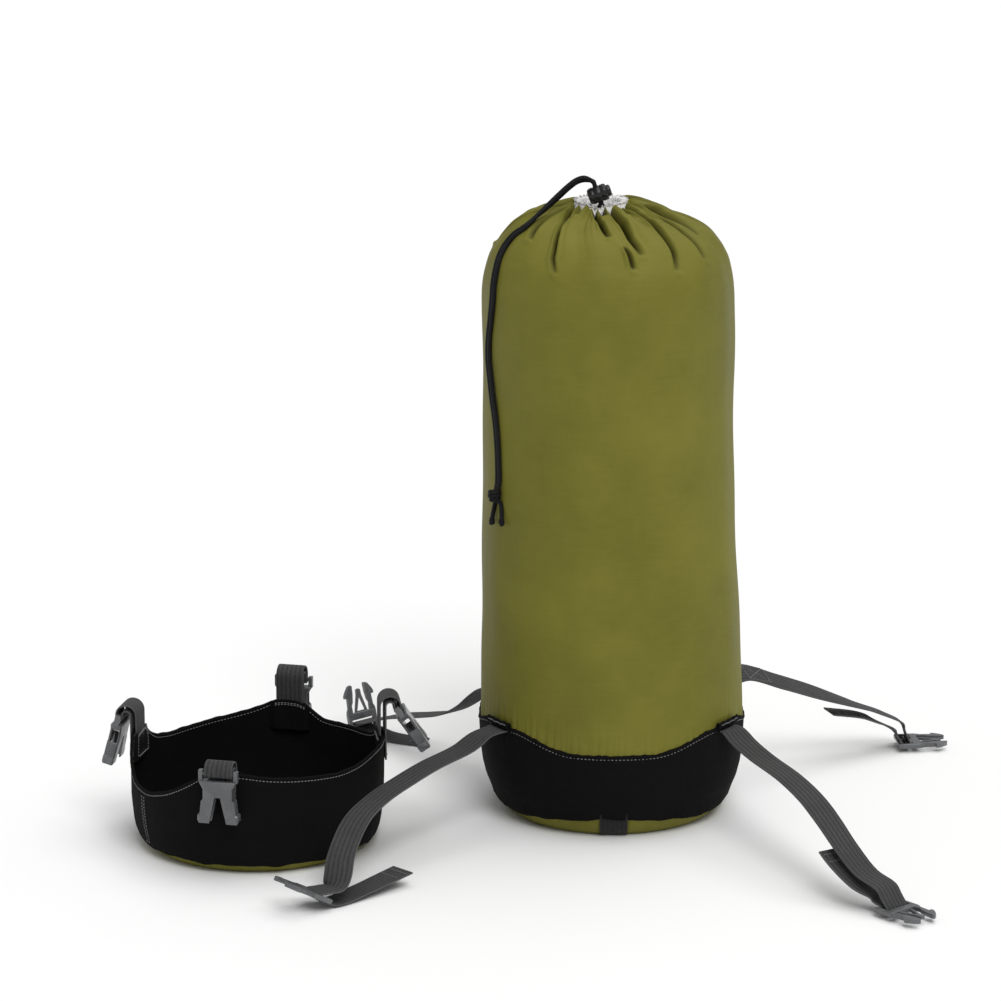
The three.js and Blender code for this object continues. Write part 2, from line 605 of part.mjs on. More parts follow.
// Half the housing's outline, from its plate past the waist, where the socket is open at the side and
// the barbs latch, to the hooks beside its mouth.
const FEMALE_SIDE = [[FEMALE.plate, 16.6], [9, 15.4], [13, 13.2], [22, 13.2], [24, 15], [35.5, 16.2],
  [36.2, 18], [41, 18.4], [FEMALE.end, 17]];

/** A female buckle: x points at its socket's mouth, y along its bar, and its web turns round x = z = 0. */
function femaleBuckle() {
  const half = FEMALE.width / 2;
  const inner = half - FEMALE.rail;
  const [t, rt, bt] = [FEMALE.thick / 2, FEMALE.railThick / 2, FEMALE.barThick / 2];
  const rails = block(FEMALE.rear, FEMALE.plate + 1, -half, half, -rt, rt)
    .subtract(block(FEMALE.rear - 1, FEMALE.plate, -inner, inner, -rt - 1, rt + 1));
  const bar = block(-FEMALE.bar / 2, FEMALE.bar / 2, -inner - 1, inner + 1, -bt, bt);
  const outline = [...FEMALE_SIDE, ...FEMALE_SIDE.map(([x, y]) => [x, -y]).reverse()];
  const housing = plate(outline, FEMALE.thick, 1);
  const [w, h] = [FEMALE.socketWidth / 2, FEMALE.socketThick / 2];
  const socket = block(FEMALE.socket, FEMALE.end + 1, -w, w, -h, h);
  const slot = plate([[FEMALE.slotFrom, -2.5], [FEMALE.end + 1, -FEMALE.slot / 2],
    [FEMALE.end + 1, FEMALE.slot / 2], [FEMALE.slotFrom, 2.5]], FEMALE.thick + 2);
  return surface(rails.add(bar).add(housing).subtract(socket).subtract(slot));
}

for (const loop of LOOPS) {
  add(`lid_loop_${loop.name}`, lidLoop(loop), WEB_GREY);
  const across = outward(loop.azimuth);
  const hanging = V(0, 0, -1).applyAxisAngle(V(-across.y, across.x, 0), -rad(loop.lean));
  const alongBar = V(-across.y, across.x, 0);
  const frame = new THREE.Group();
  frame.setRotationFromMatrix(new THREE.Matrix4()
    .makeBasis(hanging, alongBar, V().crossVectors(hanging, alongBar)));
  frame.position.copy(lidCentre).addScaledVector(across, lidRadius + LOOP.reach).setZ(loop.barHeight);
  model.add(frame);
  add(`female_buckle_${loop.name}`, femaleBuckle(), BUCKLE_GREY, frame);
}

export default model;
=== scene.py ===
import math

import bmesh
import bpy
import numpy as np
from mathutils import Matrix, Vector


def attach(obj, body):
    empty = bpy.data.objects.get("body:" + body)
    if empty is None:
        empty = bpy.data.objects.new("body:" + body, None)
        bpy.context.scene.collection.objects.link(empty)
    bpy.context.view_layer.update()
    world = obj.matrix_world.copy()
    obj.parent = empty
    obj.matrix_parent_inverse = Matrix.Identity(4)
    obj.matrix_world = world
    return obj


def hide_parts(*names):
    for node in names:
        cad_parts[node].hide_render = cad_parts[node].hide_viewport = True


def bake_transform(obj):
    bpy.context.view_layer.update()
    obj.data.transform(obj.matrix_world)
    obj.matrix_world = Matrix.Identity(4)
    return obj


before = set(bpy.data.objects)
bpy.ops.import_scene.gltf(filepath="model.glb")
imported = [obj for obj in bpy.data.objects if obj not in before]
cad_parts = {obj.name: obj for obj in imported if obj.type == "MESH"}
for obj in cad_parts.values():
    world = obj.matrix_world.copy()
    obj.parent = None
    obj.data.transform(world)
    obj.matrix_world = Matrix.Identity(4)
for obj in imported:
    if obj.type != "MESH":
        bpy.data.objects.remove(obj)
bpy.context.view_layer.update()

CLOSED_CENTRE = 0.0002  # the radius of the first ring of a round cloth
CREASE_SHADE = "crease"  # how deep in a fold a point of the cloth is, from 0 to 1, which the cloth's material paints as shade
CLOTH_UV = "cloth"  # every cloth piece's UVs are in metres, across and along
CLOTH_THICK, THIN_CLOTH = 0.0009, 0.0007
WALL_RUN = 0.113  # the radius at which a wall's UVs are in metres
ACROSS_WEB = 0.0105  # half the length of a row of stitches across a web
THREAD_LIFT = 0.0002  # how far a stitch's middle is over its cloth, before its own width
rng = np.random.default_rng(417)

# ---- sizes, in metres, as in the CAD

BAG_SIDE = [
    (0.1085, 0.024), (0.112, 0.032), (0.115, 0.044), (0.117, 0.060), (0.118, 0.092), (0.117, 0.140),
    (0.115, 0.200), (0.1125, 0.290), (0.1113, 0.380), (0.112, 0.450), (0.1112, 0.482), (0.1086, 0.497),
    (0.105, 0.509), (0.098, 0.520), (0.089, 0.530), (0.076, 0.539), (0.058, 0.546), (0.040, 0.5505),
    (0.027, 0.5525),
]
BAG_CORNER = [(0.091, 0.0), (0.098, 0.0045), (0.1048, 0.014), (0.1083, 0.0234)]
BAG_WALL = BAG_CORNER + BAG_SIDE
MOUTH = Vector((-0.012, 0.0, 0.5525))
HELD_CORD = 0.0206  # the radius of the drawcord inside the mouth's hem
BAG_LEAN, LEAN_FROM, LEAN_TO = -0.005, 0.100, 0.330
BAND_LOW, BAND_TAB, BAND_BOTTOM, BAND_LOWEST = 0.082, 0.095, 0.019, 0.0095
BAND_OUTSIDE = 0.0016  # from the sack's wall to the band's outside
TAB_LEVEL, TAB_SLOPE = 8, 32  # degrees round from a tab's middle where its edge is level, then where it falls
TABS = (-57, 57, 123, -123)
STRAP_NAMES = dict(zip(TABS, ("front_left", "front_right", "back_right", "back_left")))
STRAP_ROOT = 0.091  # the height of a strap's root
WEB_WIDTH, WEB_THICK, WEB_BEND = 0.025, 0.0016, 0.0028
CORD_D = 0.004
LID_CENTRE = np.array((-0.316, -0.098, 0.0))
LID_CLOTH, LEG_INSIDE, LEG_OUTSIDE = 0.0016, 0.0014, 0.0005  # the CAD wall, and its space to a web loop's legs
LID_CORNER = [(0.094, 0.0), (0.100, 0.0036), (0.1044, 0.0096), (0.1065, 0.015)]
LID_SIDE = [(0.107, 0.0156), (0.1094, 0.026), (0.1114, 0.044), (0.1117, 0.062), (0.112, 0.096)]
# The rim's height round the lid, as (azimuth, height): highest at the four web loops.
LID_RIM = [
    (0, 0.0938), (5, 0.092), (17, 0.090), (31, 0.0885), (43, 0.0875), (55, 0.0895), (68, 0.094), (88, 0.095),
    (104, 0.095), (113, 0.084), (122, 0.080), (148, 0.079), (155, 0.083), (160, 0.094), (167, 0.095),
    (174, 0.0945), (180, 0.0885), (189, 0.083), (200, 0.0795), (214, 0.076), (228, 0.074), (240, 0.078),
    (249, 0.095), (265, 0.095), (276, 0.077), (288, 0.064), (304, 0.0625), (318, 0.070), (330, 0.082),
    (339, 0.094), (347, 0.095), (355, 0.095), (360, 0.0938),
]
LID_RIM_BLEND = (-4, -2, 0, 2, 4)
LINING_EDGE = (0.1069, 0.0180)  # (radius, height) where the lid's lining meets its wall
LOCK_CENTRE = np.array((-0.015, -0.014, 0.566))
LOCK_TILT = math.radians(20)


def outward(azimuth):
    a = math.radians(azimuth)
    return np.array((math.sin(a), -math.cos(a), 0.0))


def turn_between(a, b):
    return np.abs((np.asarray(a) - b + 540) % 360 - 180)


def azimuths(count):
    return np.arange(count) * 360 / count


def smooth(t):
    t = np.clip(t, 0, 1)
    return t * t * (3 - 2 * t)


def unit(vectors):
    vectors = np.asarray(vectors, float)
    return vectors / np.linalg.norm(vectors, axis=-1, keepdims=True)


def round_points(radius, azimuth, height, centre=(0, 0)):
    """Points at radii, azimuths and heights round an upright axis."""
    a = np.radians(azimuth)
    x, y = centre[0] + radius * np.sin(a), centre[1] - radius * np.cos(a)
    return np.stack(np.broadcast_arrays(x, y, height), axis=-1)


def run_along(points):
    """How far along a line each of its points is."""
    return np.r_[0, np.cumsum(np.linalg.norm(np.diff(points, axis=0), axis=1))]


def at_lengths(values, lengths, where):
    """The rows of values, which are given at some lengths along a line, at others."""
    return np.column_stack([np.interp(where, lengths, column) for column in np.transpose(values)])


def band_edge(azimuth):
    """The height of the base band's scalloped top edge, which rises at each tab."""
    nearest = np.min([turn_between(azimuth, tab) for tab in TABS], axis=0)
    return BAND_LOW + (BAND_TAB - BAND_LOW) * smooth(1 - (nearest - TAB_LEVEL) / TAB_SLOPE)


def waves(azimuth, height, kinds, rise=0.0):
    """A sum of waves round an axis, from -1 to 1. kinds are (waves in a turn, share); rise turns them."""
    total, shares = 0.0, 0.0
    for count, share in kinds:
        start = rng.uniform(0, 2 * math.pi)
        lean = rng.uniform(-1, 1) * rise
        total = total + share * np.cos(np.radians(azimuth) * count + start + lean * height)
        shares += share
    return total / shares


# ---- meshes

def add_object(name, data):
    obj = bpy.data.objects.new(name, data)
    bpy.context.scene.collection.objects.link(obj)
    return obj


def make_object(name, verts, faces, uvs=None):
    mesh = bpy.data.meshes.new(name)
    mesh.from_pydata([tuple(v) for v in verts], [], [tuple(f) for f in faces])
    if uvs is not None:
        layer = mesh.uv_layers.new(name=CLOTH_UV)
        layer.data.foreach_set("uv", np.asarray(uvs, np.float32).ravel())
    mesh.polygons.foreach_set("use_smooth", [True] * len(mesh.polygons))
    mesh.update()
    return add_object(name, mesh)


def uv_grid(across, along):
    return np.stack(np.broadcast_arrays(across[None, :], along[:, None]), axis=2)


def loft(name, rings, uv, round_too=True, rings_join=False, caps=False):
    """A surface through rings of points. uv is each point's (across, along); the seam uses one step more."""
    rings, uv = np.asarray(rings, float), np.asarray(uv, float)
    rows, cols = rings.shape[:2]
    r, c = np.mgrid[:rows if rings_join else rows - 1, :cols if round_too else cols - 1]
    q, d = (r + 1) % rows, (c + 1) % cols
    faces = np.stack([r * cols + c, r * cols + d, q * cols + d, q * cols + c], axis=2).reshape(-1, 4).tolist()
    corners = np.stack([uv[r, c], uv[r, d], uv[q, d], uv[q, c]], axis=2)
    if round_too:
        step = uv[:, 1, 0] - uv[:, 0, 0]
        corners[:, -1, 1, 0] = corners[:, -1, 0, 0] + step[r[:, -1]]
        corners[:, -1, 2, 0] = corners[:, -1, 3, 0] + step[q[:, -1]]
    corners = corners.reshape(-1, 2)
    if caps:
        faces += [range(cols - 1, -1, -1), range((rows - 1) * cols, rows * cols)]
        corners = np.vstack([corners, uv[0, ::-1], uv[-1]])
    obj = make_object(name, rings.reshape(-1, 3), faces, corners)
    face_out(obj)
    return obj


def face_out(obj):
    bm = bmesh.new()
    bm.from_mesh(obj.data)
    bmesh.ops.recalc_face_normals(bm, faces=bm.faces)
    bm.to_mesh(obj.data)
    bm.free()


def settle(obj):
    """Applies the modifiers of a piece to its mesh."""
    graph = bpy.context.evaluated_depsgraph_get()
    mesh = bpy.data.meshes.new_from_object(obj.evaluated_get(graph), depsgraph=graph)
    obj.modifiers.clear()
    obj.data = mesh
    return obj


def thicken(obj, thickness, offset=-1.0):
    solidify = obj.modifiers.new("thickness", "SOLIDIFY")
    solidify.thickness = thickness
    solidify.offset = offset
    return settle(obj)


def leaning(z):
    """How far the sack's axis is off its base's axis, along X, at a height."""
    return BAG_LEAN * smooth((z - LEAN_FROM) / (LEAN_TO - LEAN_FROM))


def spaced(points, count):
    """count + 1 equally spaced points on a polyline."""
    lengths = run_along(points)
    return at_lengths(points, lengths, np.linspace(0, lengths[-1], count + 1))


def spline(points, count):
    """Equally spaced points on a centripetal Catmull-Rom curve."""
    p = np.asarray(points, float)
    p = np.vstack([2 * p[0] - p[1], p, 2 * p[-1] - p[-2]])
    fine = []
    t = np.linspace(0, 1, 30, endpoint=False)[:, None]
    for a, b, c, d in zip(p, p[1:], p[2:], p[3:]):
        u, v, w = (max(np.linalg.norm(q - o) ** 0.5, 1e-6) for o, q in ((a, b), (b, c), (c, d)))
        leave = ((b - a) / u - (c - a) / (u + v) + (c - b) / v) * v
        arrive = ((c - b) / v - (d - b) / (v + w) + (d - c) / w) * v
        fine.append(b + leave * t + (3 * (c - b) - 2 * leave - arrive) * t ** 2
                    + (2 * (b - c) + leave + arrive) * t ** 3)
    fine.append(p[-2][None])
    return spaced(np.vstack(fine), count)


def radius_at(profile, z):
    profile = np.asarray(profile)
    return np.interp(z, profile[:, 1], profile[:, 0])


def frames_along(points, first_side):
    """Two directions across a line at each of its points, without twist."""
    along = unit(np.gradient(points, axis=0))
    side, sides = np.asarray(first_side, float), []
    for a in along:
        side = unit(side - a * side.dot(a))
        sides.append(side)
    return np.array(sides), np.cross(along, sides)


def axes_from(axis, other):
    """An axis's direction, and two directions at right angles to it."""
    axis = unit(axis)
    side = unit(np.cross(axis, other))
    return axis, side, np.cross(axis, side)


def circle(a, side, other):
    return np.outer(np.cos(a), side) + np.outer(np.sin(a), other)


def tube(name, points, radius, around=14, pinch=0.0):
    """A round tube with closed ends, drawn in at both ends by pinch of its radius."""
    points = np.asarray(points)
    sides, others = frames_along(points, (0.13, 0.31, 0.94))
    a = np.linspace(0, 2 * math.pi, around, endpoint=False)
    scale = np.ones(len(points))
    scale[[0, -1]] = 1 - pinch
    rings = (points[:, None] + radius * scale[:, None, None] * (
        np.cos(a)[None, :, None] * sides[:, None] + np.sin(a)[None, :, None] * others[:, None]))
    return loft(name, rings, uv_grid(a * radius, run_along(points)), caps=True)


def web_section(width, thickness):
    """A web's cross-section: flat faces with a rounded edge at each side."""
    half, r = width / 2, thickness / 2
    flat = np.linspace(-(half - r), half - r, 9)
    top = [(s, r) for s in flat]
    right = [(half - r + r * math.cos(a), r * math.sin(a)) for a in np.radians((45, 0, -45))]
    return np.array(top + right + [(-s, -f) for s, f in top + right])


def web(name, points, sides, width=WEB_WIDTH, thickness=WEB_THICK):
    """A flat web along points; sides is the direction of its width, or its direction at each point."""
    points = np.asarray(points)
    along = np.empty_like(points)
    along[1:-1] = points[2:] - points[:-2]
    along[0], along[-1] = points[1] - points[0], points[-1] - points[-2]
    along = unit(along)
    sides = np.asarray(sides, float)
    sides = unit(sides - along * np.sum(sides * along, axis=1)[:, None])
    faces = np.cross(along, sides)
    section = web_section(width, thickness)
    rings = (points[:, None] + section[None, :, :1] * sides[:, None] + section[None, :, 1:] * faces[:, None])
    return loft(name, rings, uv_grid(section[:, 0], run_along(points)), caps=True)


def turned(name, profile, centre, axis, around=64):
    """A turned piece: profile is (distance along the axis, radius)."""
    axis, side, other = axes_from(axis, (0, 1, 0))
    a = np.linspace(0, 2 * math.pi, around, endpoint=False)
    rings = [centre + axis * x + r * circle(a, side, other) for x, r in profile]
    return loft(name, rings, uv_grid(a * 0.006, np.array(profile)[:, 0]), caps=True)


def stitches(name, points, normals, length, pitch, width=0.0005):
    """A row of thread stitches along a line on a surface: six-sided bars whose ends go down into it.
    normals is the surface's direction, or its direction at each point."""
    normals = np.broadcast_to(normals, np.shape(points))
    total = run_along(points)
    at = np.arange(pitch / 2, total[-1] - length / 2, pitch)
    start, end = (at_lengths(points, total, at + k * length / 2) for k in (-1, 1))
    up = unit(at_lengths(normals, total, at))[:, None]
    side = np.cross(unit(end - start)[:, None], up)
    angle = np.arange(6)[:, None] * math.pi / 3
    section = side * np.cos(angle) + 0.7 * up * np.sin(angle)
    rings = []
    for share, size, rise in ((0, 0.35, -0.6), (0.25, 1, 0.6), (0.75, 1, 0.6), (1, 0.35, -0.6)):
        middle = (start + (end - start) * share)[:, None] + up * (THREAD_LIFT + rise * width)
        rings.append(middle + width * size * section)
    verts = np.stack(rings, axis=1).reshape(-1, 3)
    faces = []
    for base in range(0, len(verts), 24):
        for ring in (base, base + 6, base + 12):
            for t in range(6):
                u = (t + 1) % 6
                faces.append((ring + t, ring + u, ring + 6 + u, ring + 6 + t))
        faces += [range(base + 5, base - 1, -1), range(base + 18, base + 24)]
    obj = make_object(name, verts, faces)
    face_out(obj)
    obj.data.materials.append(THREAD)
    return obj


# ---- materials

class Shade:
    """A principled material. Each call adds a node and gives its output."""

    def __init__(self, name, **values):
        self.material = bpy.data.materials.new(name)
        self.material.use_nodes = True
        self.tree = self.material.node_tree
        self.shader = self.tree.nodes["Principled BSDF"]
        for key, value in values.items():
            self.shader.inputs[key.replace("_", " ")].default_value = value

    def node(self, kind, inputs=(), out=0, **options):
        made = self.tree.nodes.new("ShaderNode" + kind)
        for key, value in options.items():
            setattr(made, key, value)
        for key, value in dict(inputs).items():
            if isinstance(value, bpy.types.NodeSocket):
                self.tree.links.new(value, made.inputs[key])
            else:
                made.inputs[key].default_value = value
        return made.outputs[out]

    def math(self, operation, *values):
        return self.node("Math", enumerate(values), operation=operation)

    def uv(self):
        split = self.node("SeparateXYZ", {0: self.node("UVMap", uv_map=CLOTH_UV)})
        return split, split.node.outputs[1]

    def noise(self, scale, detail=3.0, roughness=0.5, stretch=None):
        vector = self.node("TexCoord", out=3)
        if stretch:
            vector = self.node("Mapping", {0: vector, 3: stretch})
        return self.node("TexNoise", {"Vector": vector, "Scale": scale, "Detail": detail,
                                      "Roughness": roughness})

    def sine(self, value, period):
        """From 0 to 1 and back, once in each period of a length."""
        angle = self.math("MULTIPLY", value, 2 * math.pi / period)
        return self.math("MULTIPLY_ADD", self.math("SINE", angle), 0.5, 0.5)

    def spread(self, value, low, high, to_low=0.0, to_high=1.0):
        return self.node("MapRange", {0: value, 1: low, 2: high, 3: to_low, 4: to_high})

    def mix(self, share, a, b):
        """A mix of two colours, each of them an output or (red, green, blue)."""
        a, b = ((*c, 1.0) if isinstance(c, tuple) else c for c in (a, b))
        return self.node("Mix", {0: share, 6: a, 7: b}, out=2, data_type="RGBA")

    def layer(self, color, by, low, high, most, over):
        """Lays another colour over a colour, up to the share most, as a value goes from low to high."""
        return self.mix(self.spread(by, low, high, 0.0, most), color, over)

    def bump(self, height, distance, strength, below=None):
        inputs = {"Height": height, "Distance": distance, "Strength": strength}
        if below:
            inputs["Normal"] = below
        return self.node("Bump", inputs)

    def finish(self, color=None, roughness=None, normal=None):
        for key, value in (("Base Color", color), ("Roughness", roughness), ("Normal", normal)):
            if value is not None:
                self.tree.links.new(value, self.shader.inputs[key])
        return self.material


def nylon(name, dark, mid, light, roughness, wrinkle, **values):
    """Plain-woven coated nylon: a fine weave, faint slubs along it, soft creases, uneven colour, and painted
    shade deep in the gathers' folds.
    """
    s = Shade(name, **values)
    u, v = s.uv()
    weave = s.math("MULTIPLY", s.sine(u, 0.00055), s.sine(v, 0.00055))
    slub = s.noise(900, 1.0, stretch=(0.05, 0.05, 1.0))
    cloud = s.noise(9, 4.0, roughness=0.6)
    crease = s.noise(38, 5.0, roughness=0.62, stretch=(1.0, 1.0, 0.45))
    color = s.mix(s.spread(cloud, 0.35, 0.68), dark, mid)
    color = s.layer(color, slub, 0.45, 0.75, 0.12, light)
    color = s.layer(color, weave, 0.0, 1.0, 0.18, light)
    # painted shade: deep in the gathers' folds the colour is mixed almost all the way to near black, by the
    # crease mask
    fold = s.node("Attribute", out=2, attribute_name=CREASE_SHADE)
    color = s.mix(s.math("MULTIPLY", fold, 0.97), color, tuple(c * 0.04 for c in dark))
    rough = s.spread(cloud, 0.3, 0.7, roughness - 0.05, roughness + 0.07)
    normal = s.bump(crease, 0.004 * wrinkle, 0.5)
    normal = s.bump(weave, 0.00012, 0.5, normal)
    return s.finish(color, rough, normal)


def webbing(name, dark, light, edge):
    """Ribbed woven webbing: lengthwise ribs, a fine slanted pick between them, and paler worn edges."""
    s = Shade(name, Roughness=0.7, Sheen_Weight=0.08, Sheen_Roughness=0.5, Specular_IOR_Level=0.2)
    u, v = s.uv()
    ribs = s.sine(u, 0.0041)
    zigzag = s.math("PINGPONG", u, 0.0012)
    pick = s.sine(s.math("ADD", v, s.math("MULTIPLY", zigzag, 1.1)), 0.0011)
    cloth = s.math("MULTIPLY", s.math("POWER", ribs, 0.6), s.spread(pick, 0, 1, 0.55, 1.0))
    fuzz = s.noise(650, 4.0, roughness=0.7)
    cloud = s.noise(24, 3.0)
    color = s.mix(cloth, dark, light)
    color = s.layer(color, fuzz, 0.45, 0.8, 0.5, edge)
    color = s.layer(color, cloud, 0.3, 0.7, 0.35, dark)
    side = s.math("ABSOLUTE", u)
    color = s.layer(color, side, 0.0112, 0.0124, 0.55, edge)
    normal = s.bump(cloth, 0.0005, 0.8)
    normal = s.bump(fuzz, 0.0002, 0.5, normal)
    return s.finish(color, s.spread(fuzz, 0.2, 0.8, 0.6, 0.85), normal)


def plastic(name, dark, light, roughness, **values):
    """Moulded plastic: fine grain, faint flow marks, and a painted highlight along its convex edges."""
    s = Shade(name, **values)
    grain = s.noise(1500, 2.0)
    flow = s.noise(70, 3.0, roughness=0.6)
    # painted highlight: convex edges, found by pointiness, are lightened well past the light colour, on the
    # buckles and the cord lock
    edges = s.node("NewGeometry", out=7)
    color = s.mix(s.spread(flow, 0.35, 0.7), dark, light)
    color = s.layer(color, edges, 0.5, 0.62, 0.6, tuple(c * 1.7 for c in light))
    rough = s.spread(flow, 0.3, 0.7, roughness - 0.06, roughness + 0.08)
    normal = s.bump(grain, 0.00012, 0.35)
    normal = s.bump(flow, 0.0004, 0.25, normal)
    return s.finish(color, rough, normal)


def braided(name, dark, light):
    """Braided cord: two sets of strands crossing round it."""
    s = Shade(name, Roughness=0.55, Specular_IOR_Level=0.2)
    u, v = s.uv()
    turn = math.pi * CORD_D / 2
    one = s.sine(s.math("ADD", u, v), turn / 3)
    two = s.sine(s.math("SUBTRACT", u, v), turn / 3)
    braid = s.math("MAXIMUM", one, two)
    fuzz = s.noise(1100, 3.0)
    color = s.mix(s.spread(braid, 0.5, 1.0), dark, light)
    color = s.layer(color, fuzz, 0.5, 0.8, 0.4, light)
    return s.finish(color, None, s.bump(fuzz, 0.0002, 0.4, s.bump(braid, 0.0005, 0.9)))


OLIVE = nylon("olive_nylon", (0.140, 0.133, 0.0190), (0.186, 0.175, 0.0275), (0.240, 0.226, 0.047),
              0.52, 0.35, Specular_IOR_Level=0.11)
BLACK = nylon("black_nylon", (0.0040, 0.0036, 0.0036), (0.0062, 0.0055, 0.0055), (0.011, 0.0103, 0.0103),
              0.78, 0.4, Specular_IOR_Level=0.06)
PATCH = nylon("black_patch", (0.006, 0.0055, 0.0055), (0.011, 0.0105, 0.0105), (0.02, 0.02, 0.02),
              0.36, 0.8, Specular_IOR_Level=0.35)
WEBBING = webbing("grey_webbing", (0.017, 0.017, 0.0175), (0.062, 0.062, 0.064), (0.125, 0.125, 0.127))
BUCKLE = plastic("grey_buckle", (0.066, 0.068, 0.072), (0.100, 0.103, 0.108), 0.26, Specular_IOR_Level=0.62)
LOCK = plastic("black_lock", (0.005, 0.005, 0.005), (0.010, 0.010, 0.010), 0.3, Specular_IOR_Level=0.4)
# A near-black copy of the grey webbing: painted shade on the grab web, which lies under the sack by the floor.
SHADED_WEBBING = webbing("shaded_webbing", (0.006, 0.006, 0.006), (0.015, 0.0145, 0.014), (0.026, 0.025, 0.025))
CORD = braided("black_cord", (0.0022, 0.0022, 0.0026), (0.0085, 0.0085, 0.009))


def grainy(name, scale, detail, dark, light, strength, **values):
    """A plain material with a fine grain in its colour and its surface."""
    s = Shade(name, **values)
    grain = s.noise(scale, detail)
    return s.finish(s.mix(grain, dark, light), None, s.bump(grain, 0.0001, strength))


def lining_material():
    """Pale crumpled coated cloth."""
    s = Shade("pale_lining", Roughness=0.55, Sheen_Weight=0.2, Subsurface_Weight=0.1,
              Subsurface_Radius=(0.002, 0.002, 0.002))
    crumple = s.noise(420, 5.0, roughness=0.65)
    color = s.mix(s.spread(crumple, 0.3, 0.75), (0.76, 0.75, 0.74), (0.95, 0.94, 0.93))
    return s.finish(color, None, s.bump(crumple, 0.0012, 0.9))


THREAD = grainy("grey_thread", 2500, 2.0, (0.10, 0.10, 0.10), (0.24, 0.24, 0.24), 0.5, Roughness=0.8,
                Sheen_Weight=0.2)
LINING = lining_material()
STEEL = grainy("spring_steel", 1200, 3.0, (0.42, 0.42, 0.43), (0.62, 0.62, 0.62), 0.3, Metallic=1.0,
               Roughness=0.3)


def dress(obj, material=None, slot_name=None, body=None, *nodes):
    """Gives a piece its material and its body, and hides the CAD nodes that it replaces; slot_name is not used.
    """
    if material and material.name not in [m.name for m in obj.data.materials if m]:
        obj.data.materials.append(material)
    if body:
        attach(obj, body)
    if nodes:
        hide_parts(*nodes)
    return obj


# ---- camera

camera = add_object("camera", bpy.data.cameras.new("camera"))
camera.data.sensor_width = 36
camera.data.lens = 180.8
camera.data.clip_end = 50
CAMERA_TARGET = Vector((-0.1005, 0.0, 0.2838))
CAMERA_RISE, CAMERA_DISTANCE = math.radians(15), 4.5
camera.location = CAMERA_TARGET + CAMERA_DISTANCE * Vector((0, -math.cos(CAMERA_RISE), math.sin(CAMERA_RISE)))
camera.rotation_euler = (CAMERA_TARGET - camera.location).to_track_quat("-Z", "Y").to_euler()
bpy.context.scene.camera = camera

# ---- the drawcord

LOCK_UP = np.array((-math.sin(LOCK_TILT), 0.0, math.cos(LOCK_TILT)))
LOCK_AXIS = np.array((math.cos(LOCK_TILT), 0.0, math.sin(LOCK_TILT)))
STRAND = 0.00215  # half the distance between the two strands in the lock


def through_lock(side, z):
    return LOCK_CENTRE + LOCK_UP * z + np.array((0, side * STRAND, 0))


TAIL_A = [
    (-0.0265, -0.0145, 0.5786), (-0.0330, -0.0150, 0.5770), (-0.0405, -0.0165, 0.5718),
    (-0.0490, -0.0190, 0.5644), (-0.0585, -0.0230, 0.5566), (-0.0690, -0.0280, 0.5490),
    (-0.0795, -0.0330, 0.5412), (-0.0890, -0.0298, 0.5339), (-0.0965, -0.0308, 0.5254),
    (-0.1020, -0.0360, 0.5161), (-0.1055, -0.0421, 0.5043), (-0.1075, -0.0448, 0.4925),
    (-0.1085, -0.0472, 0.4781), (-0.1100, -0.0448, 0.4611), (-0.1117, -0.0412, 0.4430),
    (-0.1121, -0.0396, 0.4250), (-0.1105, -0.0432, 0.4070), (-0.1085, -0.0474, 0.3890),
    (-0.1060, -0.0526, 0.3710), (-0.1043, -0.0563, 0.3520), (-0.1035, -0.0586, 0.3330),
    (-0.1037, -0.0598, 0.3146),
]
LEG_A = [(-0.1051, -0.0558, 0.2978), (-0.1063, -0.0550, 0.2910), (-0.1075, -0.0548, 0.2845),
         (-0.1081, -0.0546, 0.2785)]
LEG_B = [(-0.1004, -0.0635, 0.2978), (-0.0997, -0.0653, 0.2915), (-0.0995, -0.0672, 0.2860),
         (-0.0997, -0.0684, 0.2810)]
KNOT = np.array((-0.1060, -0.0628, 0.306))


def beside_first(points):
    """The second strand lies beside the first: half over it on the arch, then on its front side."""
    first = np.asarray(points)
    made = []
    for i, p in enumerate(first):
        along = unit(first[min(i + 1, len(first) - 1)] - first[max(i - 1, 0)])
        t = float(smooth((i - 3) / 4))
        side = np.array((-0.2, -0.75, 0.6)) * (1 - t) + np.array((0.4, -0.92, 0.0)) * t
        made.append(p + 0.0044 * unit(side - along * side.dot(along)))
    return made


def cord(name, side, tail, leg, nodes):
    """One free strand, from the lock over the mouth, down the sack, through the knot to its tip."""
    exit_point = through_lock(side, 0.0086)
    inside_knot = [KNOT + (0.0012, side * 0.0016, 0.003), KNOT + (0.0012, side * 0.002, -0.003)]
    path = spline([exit_point, through_lock(side, 0.0115), *tail, *inside_knot, *leg], 260)
    obj = tube(name, path, CORD_D / 2, pinch=0.35)
    dress(obj, CORD, "cord_black", "bag", *nodes)
    return obj, path, exit_point


cord_a, path_a, exit_a = cord("drawcord_strand_a", 1, TAIL_A, LEG_A, ("cord_tail_a", "cord_end_a"))
cord_b, path_b, exit_b = cord("drawcord_strand_b", -1, beside_first(TAIL_A), LEG_B,
                              ("cord_tail_b", "cord_end_b"))


def wound(name, centre, axis, radius, turns, rise, wire, start=0.0, nodes=()):
    """A knot's wraps: a cord wound round a line."""
    axis, side, other = axes_from(axis, (0.3, 1.0, 0.1))
    t = np.linspace(0, 1, int(turns * 26) + 1)
    swell = radius * (0.86 + 0.14 * np.sin(t * math.pi))
    points = (centre + np.outer((t - 0.5) * rise, axis)
              + swell[:, None] * circle(start + t * turns * 2 * math.pi, side, other))
    return dress(tube(name, points, wire / 2, around=10, pinch=0.5), CORD, "cord_black", "bag", *nodes)


def stop_knot(name, leg, start):
    return wound(name, leg[-1] + np.array((0, 0, 0.001)), (0, 0, 1), 0.0014, 2.0, 0.0042, 0.003, start)


